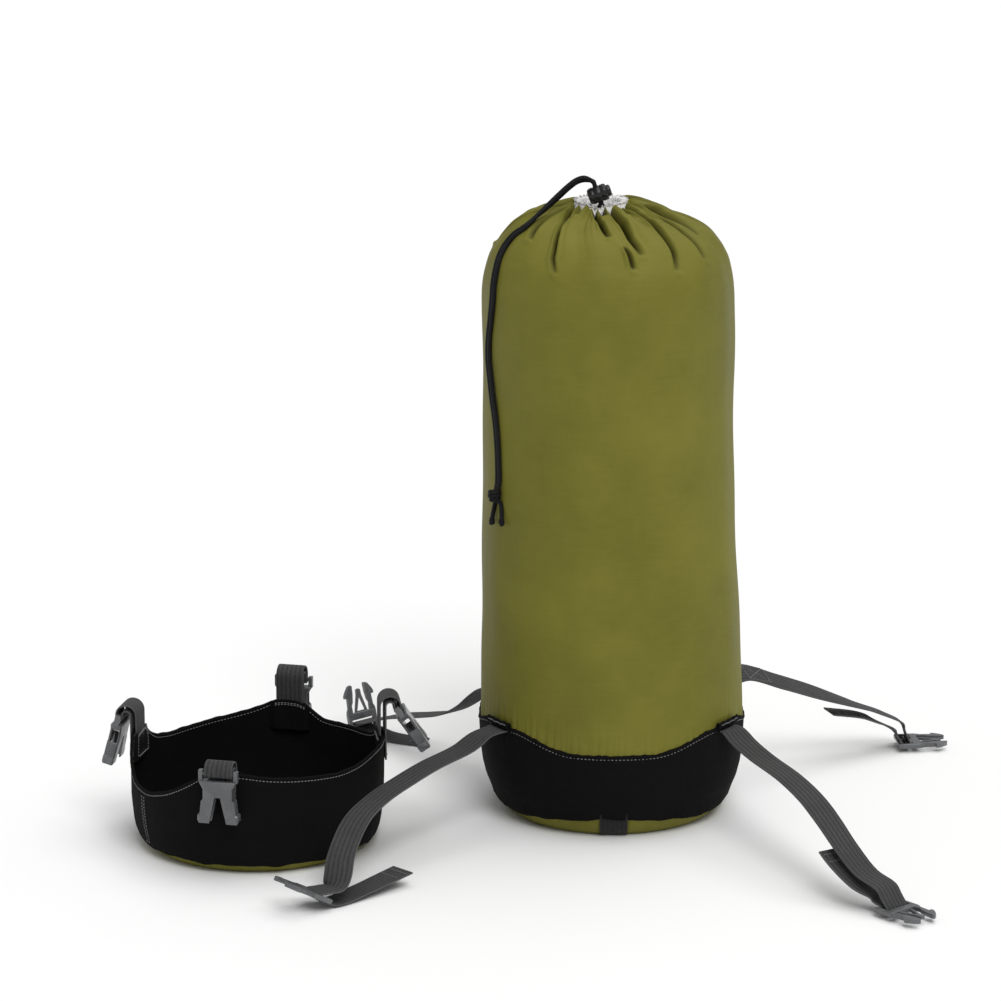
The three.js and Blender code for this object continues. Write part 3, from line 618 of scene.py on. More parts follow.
knot = wound("drawcord_knot", KNOT, (0.05, 0.05, 1), 0.0042, 2.6, 0.0088, CORD_D, 0.7, ["cord_knot"])
stop_a = stop_knot("stop_knot_a", LEG_A, 0.0)
stop_b = stop_knot("stop_knot_b", LEG_B, 1.0)

# ---- the sack's cloth

# Each gather: (half-width of its valley, depth, [(azimuth, distance down from the mouth)]), the deepest at
# the mouth. The front ones are placed one by one, and the back ones are irregular.
GATHERS = [
    (0.0024, 0.0095, [(-66, 0), (-60, 0.025), (-54, 0.062)]),
    (0.0018, 0.0090, [(-55, 0), (-40, 0.025), (-34, 0.050), (-32, 0.076), (-28, 0.090)]),
    (0.0024, 0.0065, [(-37, 0), (-32, 0.018)]),
    (0.0018, 0.0080, [(-13, 0), (-2, 0.025), (2, 0.048)]),
    (0.0024, 0.0060, [(1, 0), (4, 0.012)]),
    (0.0020, 0.0090, [(15, 0), (19, 0.027), (16, 0.051), (17, 0.071)]),
    (0.0016, 0.0022, [(9, 0.060), (10, 0.070), (11, 0.085)]),
    (0.0024, 0.0065, [(38, 0), (35, 0.017)]),
    (0.0020, 0.0090, [(54, 0), (48, 0.027), (41, 0.050), (38, 0.065), (34, 0.089)]),
    (0.0022, 0.0095, [(71, 0), (64, 0.027), (58, 0.056), (57, 0.084)]),
    (0.0021, 0.0085, [(86, 0), (76, 0.028), (72, 0.062)]),
    (0.0018, 0.0070, [(101, 0), (95, 0.020), (98, 0.058)]),
    (0.0017, 0.0060, [(-82, 0), (-84, 0.030), (-92, 0.070)]),
    (0.0018, 0.0060, [(-101, 0), (-98, 0.040), (-103, 0.085)]),
]
for back in range(8):
    start_at = 121 + back * 17 + rng.uniform(-4, 4)
    reach = rng.uniform(0.035, 0.095)
    bend_to = rng.uniform(-9, 9)
    GATHERS.append((rng.uniform(0.0016, 0.0021), rng.uniform(0.006, 0.009),
                    [(start_at, 0), (start_at + bend_to * 0.7, reach * 0.5), (start_at + bend_to, reach)]))


def shell_rows():
    """(radius, height, distance from the mouth) down the sack's wall, close together near the mouth."""
    dense = spline(BAG_SIDE[::-1], 1200)
    down = run_along(dense)
    at = np.r_[np.arange(0, 0.115, 0.0013), np.arange(0.115, 0.20, 0.003), np.arange(0.20, down[-1], 0.007),
               down[-1]]
    return np.column_stack([at_lengths(dense, down, at), at])


def fold_depth(azimuth, radius, down):
    """How far each point of the gathered cloth lies in from the smooth wall, and how deep in a fold it is, as
    the mask for the painted shade in the folds.
    """
    depth = np.zeros_like(azimuth)
    crease = np.zeros_like(azimuth)
    for half, deep, line in GATHERS:
        line = np.array(line, float)
        middle = np.interp(down, line[:, 1], line[:, 0])
        begins, ends = line[0, 1], line[-1, 1]
        share = np.clip((down - begins) / (ends - begins), 0, 1)
        inside = (down <= ends) & (down >= begins)
        if begins > 0:
            strength = np.sin(share * math.pi) ** 0.8
        else:
            strength = (1 - share) ** 0.5 * (0.75 + 0.25 * smooth(down / 0.010))
        off = ((azimuth - middle + 540) % 360 - 180) * math.pi / 180 * radius
        width = half * (0.72 + 0.42 * share)
        valley = np.exp(-(np.abs(off) / width) ** 1.5)
        lip = np.exp(-((np.abs(off) - 2.3 * width) / (1.1 * width)) ** 2)
        past = np.exp(-((down - ends - 0.0030) / 0.0024) ** 2) * np.exp(-(off / (1.9 * width)) ** 2)
        depth += np.where(inside, strength * (1.15 * deep * valley - 0.0021 * lip), 0) - 0.0015 * past
        # the mask for the painted shade in the folds
        crease = np.maximum(crease, np.where(inside, np.minimum(1, 2.2 * strength) * valley ** 0.8, 0))
    return depth, crease


def bag_cloth():
    rows = shell_rows()
    azimuth, radius = np.meshgrid(azimuths(960), rows[:, 0])
    height, down = (np.repeat(rows[:, [k]], azimuth.shape[1], axis=1) for k in (1, 2))
    depth, crease = fold_depth(azimuth, radius, down)
    near_mouth = 1 - smooth(down / 0.13)
    # panels between the gathers swell a little, and small creases run down from the mouth
    swell = 0.0042 * near_mouth * waves(azimuth, down, ((13, 1), (19, 0.8), (7, 0.6)), 30)
    creases = 0.0010 * near_mouth ** 2.5 * np.abs(waves(azimuth, down, ((31, 1), (47, 0.8)), 60)) ** 0.6
    # long soft folds down the side, and puckers where the band is sewn on
    body = smooth(down / 0.10) * smooth((height - 0.085) / 0.10)
    long_folds = 0.0011 * body * waves(azimuth, height, ((5, 1), (9, 0.8), (14, 0.5), (23, 0.25)), 9)
    soft_dents = 0.0009 * body * np.sin(np.radians(azimuth) * 3 + height * 21) * np.sin(height * 33 + 1)
    above = height - band_edge(azimuth)
    pucker = 0.0016 * np.exp(-np.clip(above, 0, None) / 0.011) * (above > -0.006) * np.abs(
        waves(azimuth, height, ((37, 1), (53, 1), (71, 0.6)), 20)) ** 0.8
    slope = unit(np.gradient(rows[:, :2], axis=0))
    push = swell + creases + long_folds + soft_dents + pucker - depth
    radius = radius - push * slope[:, 1:]
    height = height + push * slope[:, :1]
    shift = leaning(rows[:, 1]) + (MOUTH.x - BAG_LEAN) * smooth((rows[:, 1] - 0.525) / 0.0275)
    # the cloth turns into the mouth: (how far in, how far down, distance along it)
    turn_in = np.array([(0.0040, 0.0075, -0.012), (0.0036, 0.0030, -0.008), (0.0026, 0.0006, -0.005),
                        (0.0012, -0.0006, -0.002)])
    radius = np.vstack([radius[0] - turn_in[:, :1], radius])
    height = np.vstack([height[0] - turn_in[:, 1:2], height])
    shift = np.r_[np.full(len(turn_in), MOUTH.x), shift][:, None]
    crease = np.vstack([np.repeat(crease[:1], len(turn_in), axis=0), crease])
    obj = loft("sack_cloth", round_points(radius, azimuth[0], height, (shift, 0)),
               uv_grid(np.radians(azimuth[0]) * WALL_RUN, -np.r_[turn_in[:, 2], rows[:, 2]]))
    # stores the fold mask, which the olive nylon paints as shade in the gathers
    depths = obj.data.attributes.new(CREASE_SHADE, "FLOAT", "POINT")
    depths.data.foreach_set("value", crease.astype(np.float32).ravel())
    thicken(obj, CLOTH_THICK)
    dress(obj, OLIVE, "olive_nylon", "bag", "body_panel")


bag_cloth()


def dish(name, corner, centre, run, rise_from, rise_over, tuck, counts):
    """A round cloth that turns up at its corner, where small tucks draw it in, with its points and UVs."""
    corner[0, 0] = CLOSED_CENTRE
    azimuth, radius = np.meshgrid(azimuths(360), corner[:, 0])
    height = np.repeat(corner[:, 1:], azimuth.shape[1], axis=1)
    rise = smooth((radius - rise_from) / rise_over)
    kinds = tuple(zip(counts, (1, 1, 0.8)))
    tucks = tuck * rise * np.abs(waves(azimuth, height, kinds, 30)) ** 0.7
    points = round_points(radius - tucks, azimuth, height + 0.5 * tucks * rise, centre)
    uv = uv_grid(np.radians(azimuth[0]) * run, np.arange(len(corner)) * 0.0018)
    obj = loft(name, points, uv)
    thicken(obj, CLOTH_THICK, 1.0 if faces_in(obj) else -1.0)
    return obj, points, uv


def faces_in(obj):
    """Whether a dish's faces look into it, so that its cloth thickens towards its inside."""
    lowest = min(obj.data.polygons, key=lambda p: p.center.z)
    return lowest.normal.z > 0


def base_cloth():
    """The sack's floor and its rounded corner, with small tucks where it is sewn to the band."""
    corner = spline([(0.0, 0.0006), (0.045, 0.0005), (0.080, 0.0002), *[(r, z + 0.0001) for r, z in BAG_CORNER],
                     (0.112, 0.031)], 70)
    obj = dish("sack_base", corner, (0, 0), 0.105, 0.088, 0.02, 0.0013, (33, 51, 20))[0]
    dress(obj, OLIVE, "olive_nylon", "bag", "bottom_panel")


base_cloth()


HEM_FOLD, HEM_STITCH = 0.0014, 0.0036  # from a hem's edge down to its fold and its row of stitches


def wall_band(name, profile, edge, low_edge, outer, inner, centre, ruffle, pucker):
    """A band of cloth round a wall, with a folded hem along its top edge."""
    azimuth = azimuths(480)
    top, bottom = edge(azimuth), low_edge(azimuth)
    up = np.r_[np.linspace(0, 0.86, 26), 0.90, 0.93, 0.955, 0.975, 0.99, 1.0]
    f = up[:, None]
    ripple = waves(azimuth, f * 0.08, ((4, 1), (7, 0.8), (12, 0.5), (19, 0.3)), 25)
    fine = np.abs(waves(azimuth, f * 0.08, ((41, 1), (63, 0.8)), 30)) ** 0.7
    edge_wobble = 0.0006 * waves(azimuth, 0, ((23, 1), (37, 0.8), (59, 0.6)))
    low_wobble = 0.0012 * waves(azimuth, 0, ((11, 1), (19, 0.8), (31, 0.6)))
    z = bottom + low_wobble * (1 - f) + f * (top + edge_wobble - bottom)
    fold = 0.0008 * np.exp(-((z - (top - HEM_FOLD)) / HEM_FOLD) ** 2)
    groove = 0.0005 * np.exp(-((z - (top - HEM_STITCH)) / 0.0009) ** 2)
    near_edges = np.exp(-(top - z) / 0.016) + np.exp(-(z - bottom) / 0.012)
    middle = radius_at(profile, z) + ruffle * ripple * np.sin(math.pi * f) + pucker * fine * near_edges
    taper = 1 - 0.6 * np.clip((f - 0.975) / 0.025, 0, None)
    outside = round_points(middle + outer * taper + fold - groove, azimuth, z, centre)
    inside = round_points(middle + inner * taper - fold + groove, azimuth, z, centre)
    uv = uv_grid(np.radians(azimuth) * WALL_RUN, np.r_[up, 2 - up[::-1]] * 0.07)
    return loft(name, np.concatenate([outside, inside[::-1]]), uv, rings_join=True)


def hem_stitches(name, profile, edge, offset, centre, body, width, pitch=0.0034):
    """A hem's stitches, just outside its wall's profile, or just inside it where the offset is below 0."""
    azimuth = np.linspace(0, 360, 721)
    z = edge(azimuth) - HEM_STITCH
    points = round_points(radius_at(profile, z) + offset, azimuth, z, centre)
    normals = round_points(math.copysign(1, offset), azimuth, 0)
    dress(stitches(name, points, normals, 0.7 * pitch, pitch, width), body=body)


def band_bottom(azimuth):
    """The band's lower edge: highest at the front, over the grab web, and lower round the sides."""
    return BAND_LOWEST + (BAND_BOTTOM - BAND_LOWEST) * np.exp(-(turn_between(azimuth, 0) / 36) ** 2)


band = wall_band("base_band_cloth", BAG_WALL, band_edge, band_bottom, 0.0018, 0.0004, (0, 0), 0.0004, 0.0008)
dress(band, BLACK, "black_nylon", "bag", "base_band")
hem_stitches("base_band_stitches", BAG_WALL, band_edge, BAND_OUTSIDE, (0, 0), "bag", 0.00042)


def tab_flap(tab):
    """The folded cloth end over a strap's root, with a row of stitches across it."""
    name = STRAP_NAMES[tab]
    out, side = outward(tab), outward(tab + 90)
    across = np.linspace(-0.0165, 0.0165, 23)
    rolled = spline([(0.0008, 0.0895), (0.0010, 0.0925), (0.0012, 0.0955), (0.0018, 0.0985), (0.0030, 0.0998),
                     (0.0040, 0.0985), (0.0042, 0.0960), (0.0040, 0.0940)], 22)
    wall = radius_at(BAG_WALL, 0.092) + BAND_OUTSIDE
    round_wall = np.sqrt(wall ** 2 - across ** 2)
    rows = []
    for r, z in rolled:
        height = z + 0.0004 * np.sin(across * 700 + z * 900)
        rows.append(np.outer(round_wall + r, out) + np.outer(across, side) + np.outer(height, (0, 0, 1)))
    obj = loft(f"tab_flap_{name}", rows, uv_grid(across, np.arange(len(rows)) * 0.0006), round_too=False)
    thicken(obj, THIN_CLOTH, 0.0)
    dress(obj, BLACK, "black_nylon", "bag")
    row = stitches(f"tab_flap_stitches_{name}", rows[-6][2:-2] + out * 0.0005, out, 0.0022, 0.0031)
    dress(row, body="bag")


for tab_at in TABS:
    tab_flap(tab_at)

# ---- the grab web under the base

GRAB_WIDTH, GRAB_THICK = 0.025, 0.0014


def grab_web():
    half = [(0.0, 0.0007), (0.05, 0.0007), (0.091, 0.0007), (0.0985, 0.0046), (0.1053, 0.0140),
            (0.1090, 0.0235), (0.1102, 0.0270)]
    front = [(0, -r, z) for r, z in reversed(half)]
    back = [(0, r, z) for r, z in half[1:]]
    points = spline(front + back, 90)
    obj = web("grab_web_cloth", points, (1, 0, 0), GRAB_WIDTH, GRAB_THICK)
    # the grab web is grey webbing, darkened with painted shade
    dress(obj, SHADED_WEBBING, "webbing_grey", "bag", "grab_web")


grab_web()

# ---- the mouth's hem, drawcord loop and lock


def mouth_hem():
    """The pale ruffled hem that hides the drawcord round the mouth."""
    azimuth = azimuths(480)
    frill = waves(azimuth, 0, ((17, 1), (26, 0.9), (41, 0.5)))
    crimp = waves(azimuth, 0, ((33, 1), (52, 0.9)))
    notch = 0.0022 * np.exp(-(turn_between(azimuth, -12) / 15) ** 2)
    # (radius, height over the mouth, how much it ruffles)
    section = spline([(0.0240, -0.0052, 0.2), (0.0242, -0.0036, 0.5), (0.0243, -0.0010, 0.8),
                      (0.0236, 0.0018, 1.0), (0.0222, 0.0040, 1.2), (0.0206, 0.0052, 1.4),
                      (0.0188, 0.0048, 1.4), (0.0170, 0.0030, 1.3), (0.0158, 0.0004, 1.1),
                      (0.0152, -0.0030, 0.9), (0.0150, -0.0080, 0.6), (0.0152, -0.0140, 0.3)], 34)
    rows = []
    for i, (r, z, k) in enumerate(section):
        wave = frill * math.cos(i * 0.11) + 0.6 * crimp * math.cos(i * 0.31 + 1)
        height = MOUTH.z + z + 0.0008 * k * (crimp + 0.5 * wave) - notch * k
        rows.append(round_points(r + 0.0011 * k * wave, azimuth, height, (MOUTH.x, 0)))
    obj = loft("mouth_hem", rows, uv_grid(np.radians(azimuth) * 0.021, np.arange(len(rows)) * 0.001))
    thicken(obj, 0.0005, 0.0)
    dress(obj, LINING, "pale_lining", "bag", "drawcord_hem")


mouth_hem()


def drawcord_loop():
    around = [outward(azimuth) * HELD_CORD + (MOUTH.x, 0, MOUTH.z) for azimuth in np.arange(16, 344.5, 16.4)]
    up = [through_lock(1, z) for z in (-0.009, -0.003, 0.009)]
    down = [through_lock(-1, z) for z in (0.009, -0.003, -0.009)]
    obj = tube("drawcord_held_loop", spline([*down, *around, *up], 170), CORD_D / 2)
    dress(obj, CORD, "cord_black", "bag", "drawcord_loop")


drawcord_loop()


def cord_lock():
    """A barrel cord lock: a grooved body, and a plunger whose round head stands out of its bore."""
    body = turned("cord_lock_barrel", [
        (-0.0085, 0.0048), (-0.0085, 0.0056), (-0.0079, 0.0064), (-0.0066, 0.0071), (-0.0052, 0.0074),
        (-0.0036, 0.0074), (-0.0032, 0.0070), (-0.0028, 0.0070), (-0.0024, 0.0074), (0.0026, 0.0074),
        (0.0030, 0.0070), (0.0034, 0.0070), (0.0038, 0.0074), (0.0068, 0.0074), (0.0078, 0.0071),
        (0.0085, 0.0064), (0.0085, 0.0056), (0.0078, 0.0055), (0.0020, 0.0055),
    ], LOCK_CENTRE, LOCK_AXIS)
    dress(body, LOCK, "lock_black", "cord_lock", "cord_lock_body")
    head = 0.0120  # how far the plunger's head is from the lock's middle
    plunger = turned("cord_lock_button", [
        (0.0010, 0.0050), (head - 0.0050, 0.0052), (head - 0.0020, 0.0052), (head - 0.0010, 0.0050),
        (head - 0.0003, 0.0044), (head, 0.0034), (head - 0.0002, 0.0024), (head - 0.0006, 0.0010),
    ], LOCK_CENTRE, LOCK_AXIS)
    dress(plunger, LOCK, "lock_black", "lock_plunger", "cord_lock_plunger")
    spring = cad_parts["cord_lock_spring"].data.materials
    spring.clear()
    spring.append(STEEL)


cord_lock()

# ---- the straps

# Each strap's turn round its buckle's bar, and its two layers behind the bar, are as in the CAD: each point
# of a layer is how far back it is and how far off the bar's middle.
STRAPS = [
    dict(name="front_left", tab=-57, bar=(-0.259, -0.285, 0.012), heading=212, pitch=11,
         route=[(-0.118, -0.074, 0.087), (-0.133, -0.090, 0.080), (-0.163, -0.124, 0.075),
                (-0.185, -0.152, 0.070), (-0.206, -0.183, 0.065), (-0.222, -0.211, 0.058),
                (-0.231, -0.235, 0.049), (-0.238, -0.257, 0.034), (-0.240, -0.268, 0.022)],
         above=(80, [(0.009, 0.0042), (0.018, 0.0064)]), below=(78, [(0.009, 0.0055), (0.018, 0.0066)]),
         tail=[(-0.221, -0.256, 0.0054), (-0.203, -0.240, 0.009), (-0.185, -0.222, 0.012)]),
    dict(name="front_right", tab=57, bar=(0.235, -0.304, 0.0064), heading=-48, pitch=-40,
         route=[(0.116, -0.086, 0.084), (0.129, -0.114, 0.080), (0.153, -0.168, 0.077),
                (0.170, -0.206, 0.070), (0.183, -0.234, 0.059), (0.197, -0.257, 0.043),
                (0.212, -0.278, 0.029)],
         above=(80, [(0.009, 0.0042), (0.018, 0.0056)]),
         below=(108, [(0.005, 0.0012), (0.009, 0.0034), (0.018, 0.008)]),
         tail=[(0.211, -0.285, 0.017), (0.205, -0.280, 0.021), (0.192, -0.264, 0.031),
               (0.183, -0.250, 0.040)]),
    dict(name="back_right", tab=123, bar=(0.280, 0.161, 0.0064), heading=6, pitch=-50, twist=0.42,
         route=[(0.110, 0.072, 0.095), (0.123, 0.082, 0.098), (0.157, 0.099, 0.084), (0.181, 0.112, 0.073),
                (0.205, 0.124, 0.062), (0.228, 0.137, 0.051), (0.246, 0.148, 0.042), (0.262, 0.155, 0.034)],
         above=(66, [(0.009, 0.0064), (0.018, 0.0084)]), below=(94, [(0.009, 0.002), (0.018, 0.0022)]),
         tail=[(0.251, 0.150, 0.030), (0.236, 0.145, 0.037), (0.206, 0.134, 0.044)]),
    dict(name="back_left", tab=-123, bar=(-0.231, 0.209, 0.0086), heading=132, pitch=-4,
         route=[(-0.110, 0.072, 0.088), (-0.119, 0.084, 0.078), (-0.131, 0.101, 0.062),
                (-0.148, 0.122, 0.047), (-0.173, 0.149, 0.036), (-0.198, 0.174, 0.027)],
         above=(80, [(0.009, 0.0042), (0.018, 0.0064)]), below=(86, [(0.009, 0.0034), (0.018, 0.0042)]),
         tail=[(-0.206, 0.188, 0.003), (-0.190, 0.181, 0.0018), (-0.172, 0.174, 0.0013)]),
]


def strap_line(strap):
    """The points and width directions of a strap."""
    heading, pitch = math.radians(strap["heading"]), math.radians(strap["pitch"])
    level = math.cos(pitch)
    along = np.array((math.cos(heading) * level, math.sin(heading) * level, math.sin(pitch)))
    bar = np.array((-math.sin(heading), math.cos(heading), 0.0))
    across = np.cross(along, bar)
    centre = np.array(strap["bar"])

    def at(x, z):
        return centre + along * x + across * z

    def on_turn(angle):
        a = math.radians(angle)
        return at(WEB_BEND * math.cos(a), WEB_BEND * math.sin(a))

    out = outward(strap["tab"])
    root = out * (radius_at(BAG_WALL, STRAP_ROOT) + BAND_OUTSIDE + 0.001) + (0, 0, STRAP_ROOT)
    above_wrap, above = strap["above"]
    below_wrap, below = strap["below"]
    first = spline([root, root + out * 0.005, *strap["route"],
                    *[at(-back, off) for back, off in reversed(above)], on_turn(above_wrap)], 110)
    turn = [on_turn(angle) for angle in np.arange(above_wrap - 10, 5 - below_wrap, -10)]
    tail = spline([on_turn(-below_wrap), *[at(-back, -off) for back, off in below], *strap["tail"]], 48)
    points = np.vstack([first, turn, tail])
    side = np.array((-out[1], out[0], 0.0))
    sides = []
    for i in range(len(points)):
        step = points[min(i + 1, len(points) - 1)] - points[max(i - 1, 0)]
        if len(first) - 4 <= i < len(first) + len(turn) + 4:
            new = bar
        else:
            t = i / (len(first) - 1)
            twist = strap.get("twist", 0) * float(smooth(t / 0.12) * (1 - smooth((t - 0.35) / 0.5)))
            level = math.hypot(step[0], step[1])
            new = np.array((-step[1] / level, step[0] / level, twist))
        side = -new if new.dot(side) < 0 else new
        sides.append(side)
    sides = np.array(sides)
    for _ in range(3):
        sides[1:-1] = (sides[:-2] + 2 * sides[1:-1] + sides[2:]) / 4
    return points, sides


def overlap_stitches(points, sides):
    """A box of stitches with a cross in it, on the back right strap near its root."""
    start, end, half, depth, lift = 14, 22, 0.0095, 0.024, 0.0009
    along, side = unit(points[end] - points[start]), sides[(start + end) // 2]
    normal = np.cross(along, side)
    normal *= math.copysign(1, normal[2])
    near = points[start] + normal * lift
    far = near + along * depth
    corners = [near - side * half, near + side * half, far + side * half, far - side * half]
    made = [stitches(f"overlap_{a}{b}", (corners[a], corners[b]), normal, 0.0018, 0.0026, 0.0004)
            for a, b in ((0, 1), (1, 2), (2, 3), (3, 0), (0, 2), (1, 3))]
    join("strap_overlap_stitches", made, "strap_back_right")


def join(name, objects, body):
    """Makes one piece of rows of stitches."""
    bm = bmesh.new()
    for o in objects:
        bm.from_mesh(o.data)
    mesh = bpy.data.meshes.new(name)
    bm.to_mesh(mesh)
    bm.free()
    mesh.materials.append(objects[0].data.materials[0])
    for o in objects:
        bpy.data.objects.remove(o)
    dress(add_object(name, mesh), body=body)


for strap in STRAPS:
    name = strap["name"]
    points, sides = strap_line(strap)
    obj = web(f"strap_web_{name}", points, sides)
    dress(obj, WEBBING, "webbing_grey", None, f"strap_{name}")
    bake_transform(obj)
    normal = unit(np.cross(points[-1] - points[-4], sides[-1]))
    ends = []
    for sign in (1, -1):
        for back in (4, 9):
            middle, half = points[-back] + sign * normal * 0.0009, sides[-back] * ACROSS_WEB
            ends.append(stitches(f"end_{name}_{sign}_{back}", (middle - half, middle + half), sign * normal,
                                 0.0018, 0.0026, 0.0004))
    join(f"strap_end_stitches_{name}", ends, f"strap_{name}")
    if name == "back_right":
        overlap_stitches(points, sides)

# ---- buckles


def buckle(half, name):
    """A moulded buckle half: the CAD shape with its edges rounded as a mould leaves them."""
    node = f"{half}_buckle_{name}"
    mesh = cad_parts[node].data.copy()
    bm = bmesh.new()
    bm.from_mesh(mesh)
    bmesh.ops.remove_doubles(bm, verts=bm.verts, dist=1e-5)
    bmesh.ops.dissolve_limit(bm, angle_limit=math.radians(2), verts=bm.verts, edges=bm.edges)
    bm.to_mesh(mesh)
    bm.free()
    mesh.materials.clear()
    mesh.polygons.foreach_set("use_smooth", [True] * len(mesh.polygons))
    obj = add_object(f"{half}_half_{name}", mesh)
    rounding = obj.modifiers.new("rounding", "BEVEL")
    rounding.width = 0.0005
    rounding.segments = 3
    rounding.limit_method = "ANGLE"
    rounding.angle_limit = math.radians(35)
    rounding.use_clamp_overlap = True
    rounding.harden_normals = True
    settle(obj)
    dress(obj, BUCKLE, "buckle_grey", f"{half}_{name}", node)


for strap in STRAPS:
    buckle("male", strap["name"])

# ---- the lid

# hook is the height where a loop's legs turn over the rim, and bar is its buckle's bar's height.
LOOPS = [
    dict(name="front", azimuth=-13, hook=0.098, bar=0.098),
    dict(name="right", azimuth=96, hook=0.121, bar=0.118),
    dict(name="back", azimuth=167, hook=0.115, bar=0.110),
    dict(name="left", azimuth=-103, hook=0.108, bar=0.106),
]
LOOP_REACH, LOOP_FOOT, FACING_FOOT = 0.012, 0.072, 0.0665


def lid_edge(azimuth):
    """The height of the lid's rim at an azimuth, blended over a few degrees."""
    at, height = np.transpose(LID_RIM)
    return np.mean([np.interp((azimuth + turn) % 360, at, height) for turn in LID_RIM_BLEND], axis=0)


# The wall's cloth reaches down over the top's rounded corner.
LID_WALL = [(0.1052, 0.0084), (0.1064, 0.0108), (0.1082, 0.0156), (0.1094, 0.0220), *LID_SIDE[2:]]
lid_wall = wall_band("lid_wall_cloth", LID_WALL, lid_edge, lambda azimuth: LID_WALL[0][1], 0.0002, -0.0014,
                     LID_CENTRE, 0.0016, 0.0003)
dress(lid_wall, BLACK, "black_nylon", "lid", "lid_wall")
for side, offset in (("", 0.0001), ("_inside", -0.0013)):
    hem_stitches("lid_rim_stitches" + side, LID_SIDE, lid_edge, offset, LID_CENTRE, "lid", 0.00045, 0.0031)


def lid_seam():
    """The wall's own seam: two upright rows of stitches."""
    rows = []
    for k, azimuth in enumerate((-60.0, -62.2)):
        z = np.linspace(0.012, lid_edge(azimuth) - 0.006, 30)
        points = round_points(radius_at(LID_SIDE, z) + 0.0006, azimuth, z, LID_CENTRE)
        rows.append(stitches(f"seam_{k}", points, outward(azimuth), 0.0021, 0.003, 0.00045))
    join("lid_seam_stitches", rows, "lid")


lid_seam()


def tab_facing(loop):
    """The cloth sewn inside a tab, over the inner leg of its web loop."""
    name, out, side = loop["name"], outward(loop["azimuth"]), outward(loop["azimuth"] + 90)
    across = np.linspace(-0.0185, 0.0185, 33)
    up = np.linspace(0, 1, 20)
    top = np.minimum(lid_edge(loop["azimuth"] + np.degrees(across / 0.110)) + 0.0006, 0.0960)
    over_leg = LID_SIDE[-1][0] - LID_CLOTH - LEG_INSIDE - WEB_THICK - 0.0009
    kinds = ((1, 1), (2.3, 0.7), (3.1, 0.6))
    wrinkle = 0.0005 * waves(across * 9000, 0.03 * up[:, None], kinds, 160)
    rows = []
    for share, ripple in zip(up, wrinkle):
        z = FACING_FOOT + (top - FACING_FOOT) * share
        on_wall = np.sqrt((radius_at(LID_SIDE, z) - 0.0019) ** 2 - across ** 2)
        r = on_wall + (over_leg - on_wall) * (1 - smooth((np.abs(across) - 0.0132) / 0.0045)) + ripple
        rows.append(LID_CENTRE + np.outer(r, out) + np.outer(across, side) + np.outer(z, (0, 0, 1)))
    rows = np.array(rows)
    obj = loft(f"tab_facing_{name}", rows, uv_grid(across, 0.03 * up), round_too=False)
    thicken(obj, THIN_CLOTH, 0.0)
    dress(obj, PATCH if name == "left" else BLACK, "black_nylon", "lid")
    lines = [rows[17, 3:29], rows[16, 3:29]]
    if name == "left":
        lines += [rows[3, 3:29], rows[3:18, 4], rows[3:18, 28]]
    made = [stitches(f"facing_{name}_{k}", line - out * 0.0006, -out, 0.0021, 0.003)
            for k, line in enumerate(lines)]
    join(f"tab_facing_stitches_{name}", made, "lid")


for loop in LOOPS:
    tab_facing(loop)


def lid_top():
    """The lid's round top, which lies on the floor: olive outside, with its corner tucked under the wall."""
    corner = spline([(0.0, 0.0006), (0.050, 0.0005), (0.084, 0.0002),
                     *[(r, z + 0.0001) for r, z in LID_CORNER[:-1]], (0.1058, 0.0140)], 60)
    obj, points, uv = dish("lid_top_cloth", corner, LID_CENTRE, 0.1, 0.090, 0.016, 0.0012, (29, 47, 17))
    dress(obj, OLIVE, "olive_nylon", "lid", "lid_top_panel")
    # the lining lies just over the top's cloth, and its edge meets the wall
    points[..., :2] += (LID_CENTRE[:2] - points[..., :2]) * 0.015
    points[..., 2] = np.maximum(points[..., 2] + 0.0014, 0.0016)
    edge = round_points(LINING_EDGE[0], azimuths(360), LINING_EDGE[1], LID_CENTRE)
    edge_uv = uv[-1:] + (0, 0.0018)
    lining = loft("lid_lining", np.concatenate([points, edge[None]]), np.concatenate([uv, edge_uv]))
    thicken(lining, 0.0004)
    dress(lining, BLACK, "black_nylon", "lid")


lid_top()


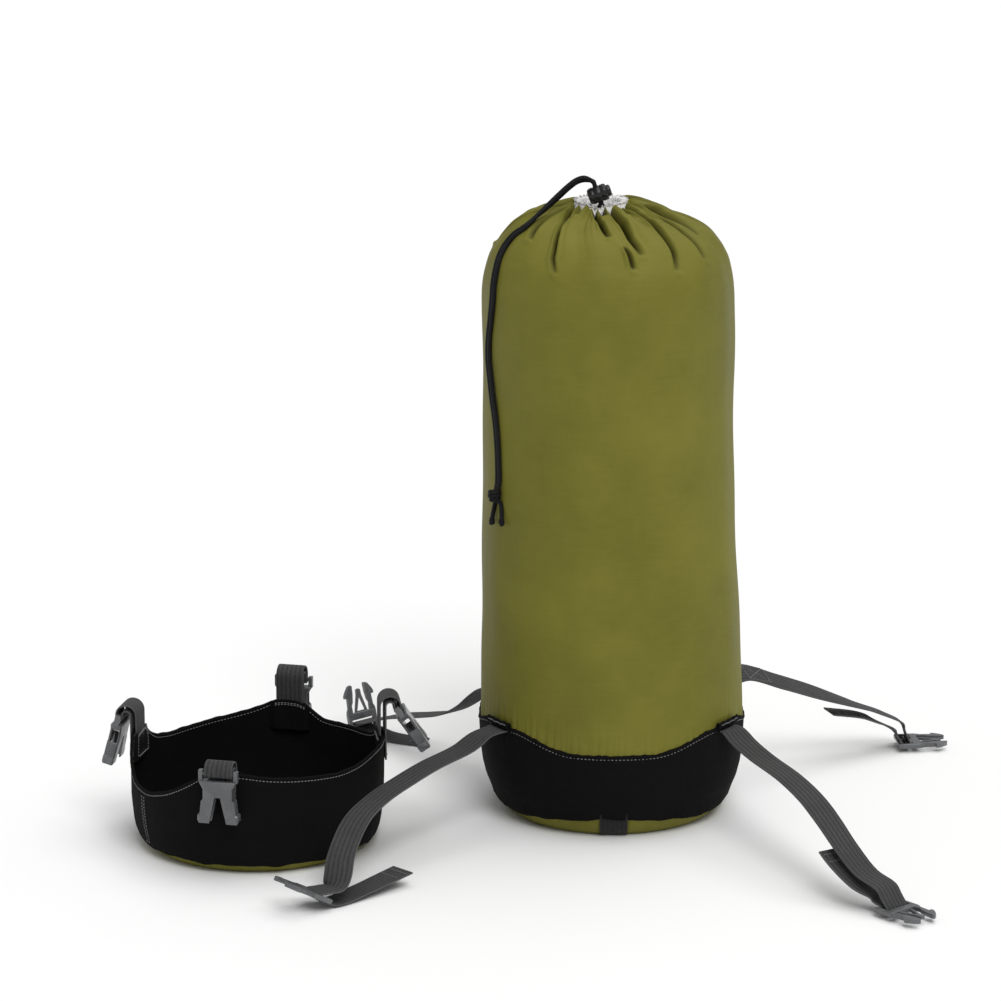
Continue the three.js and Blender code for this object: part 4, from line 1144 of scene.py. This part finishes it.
def lid_loop(loop):
    """A web loop over the rim, sewn to the wall inside and outside, that holds a female buckle half."""
    out = outward(loop["azimuth"])
    wall = LID_SIDE[-1][0]
    inside = wall - LID_CLOTH - LEG_INSIDE - WEB_THICK / 2
    outside = wall + LEG_OUTSIDE + WEB_THICK / 2
    bar = wall + LOOP_REACH

    def at(r, z):
        return LID_CENTRE + out * r + (0, 0, z)

    def half_turn(start, end, z, direction, steps):
        middle, radius = (start + end) / 2, (end - start) / 2
        return [at(middle + radius * math.cos(t), z + direction * abs(radius) * math.sin(t))
                for t in np.linspace(math.pi, 0, steps + 1)]

    points = np.array([
        at(inside, LOOP_FOOT), at(inside, (LOOP_FOOT + loop["hook"]) / 2),
        *half_turn(inside, bar + WEB_BEND, loop["hook"], 1, 20),
        *half_turn(bar + WEB_BEND, bar - WEB_BEND, loop["bar"] - 1e-5, -1, 14),
        *half_turn(bar - WEB_BEND, outside, loop["hook"], 1, 14),
        at(outside, (LOOP_FOOT + loop["hook"]) / 2), at(outside, LOOP_FOOT)])
    side = np.array((-out[1], out[0], 0.0))
    name = loop["name"]
    obj = web(f"lid_loop_web_{name}", points, side)
    dress(obj, WEBBING, "webbing_grey", "lid", f"lid_loop_{name}")
    rows = []
    for r, normal in ((inside - WEB_THICK / 2, -out), (outside + WEB_THICK / 2, out)):
        for z in (LOOP_FOOT + 0.004, LOOP_FOOT + 0.016):
            line = (at(r, z) - side * ACROSS_WEB, at(r, z) + side * ACROSS_WEB)
            rows.append(stitches(f"leg_{name}_{len(rows)}", line, normal, 0.0018, 0.0027, 0.00045))
    join(f"lid_loop_stitches_{name}", rows, "lid")
    buckle("female", name)


for loop in LOOPS:
    lid_loop(loop)

# ---- floor and light


def floor():
    half = 12.0
    corners = [(-half, -half, 0), (half, -half, 0), (half, half, 0), (-half, half, 0)]
    obj = make_object("floor", corners, [(0, 1, 2, 3)])
    s = Shade("pale_floor", Roughness=0.8, Specular_IOR_Level=0.1)
    grain = s.noise(2.0, 2.0)
    obj.data.materials.append(s.finish(s.mix(grain, (0.90, 0.90, 0.90), (0.93, 0.93, 0.93))))


def sun(name, azimuth, elevation, strength, softness):
    """A soft, even light from a direction: azimuth is from the front, towards +X."""
    data = bpy.data.lights.new(name, "SUN")
    data.energy = strength
    data.angle = math.radians(softness)
    light = add_object(name, data)
    towards = outward(azimuth) * math.cos(math.radians(elevation))
    towards[2] = math.sin(math.radians(elevation))
    light.location = Vector(towards) * 4
    light.rotation_euler = Vector(towards).to_track_quat("Z", "Y").to_euler()


floor()
world = bpy.data.worlds.new("studio")
bpy.context.scene.world = world
world.use_nodes = True
backdrop = world.node_tree.nodes["Background"].inputs
backdrop["Color"].default_value = (1, 1, 1, 1)
backdrop["Strength"].default_value = 0.43
sun("overhead", 120, 72, 1.32, 60)
sun("front", 20, 50, 1.22, 30)
bpy.context.scene.view_settings.view_transform = "Standard"
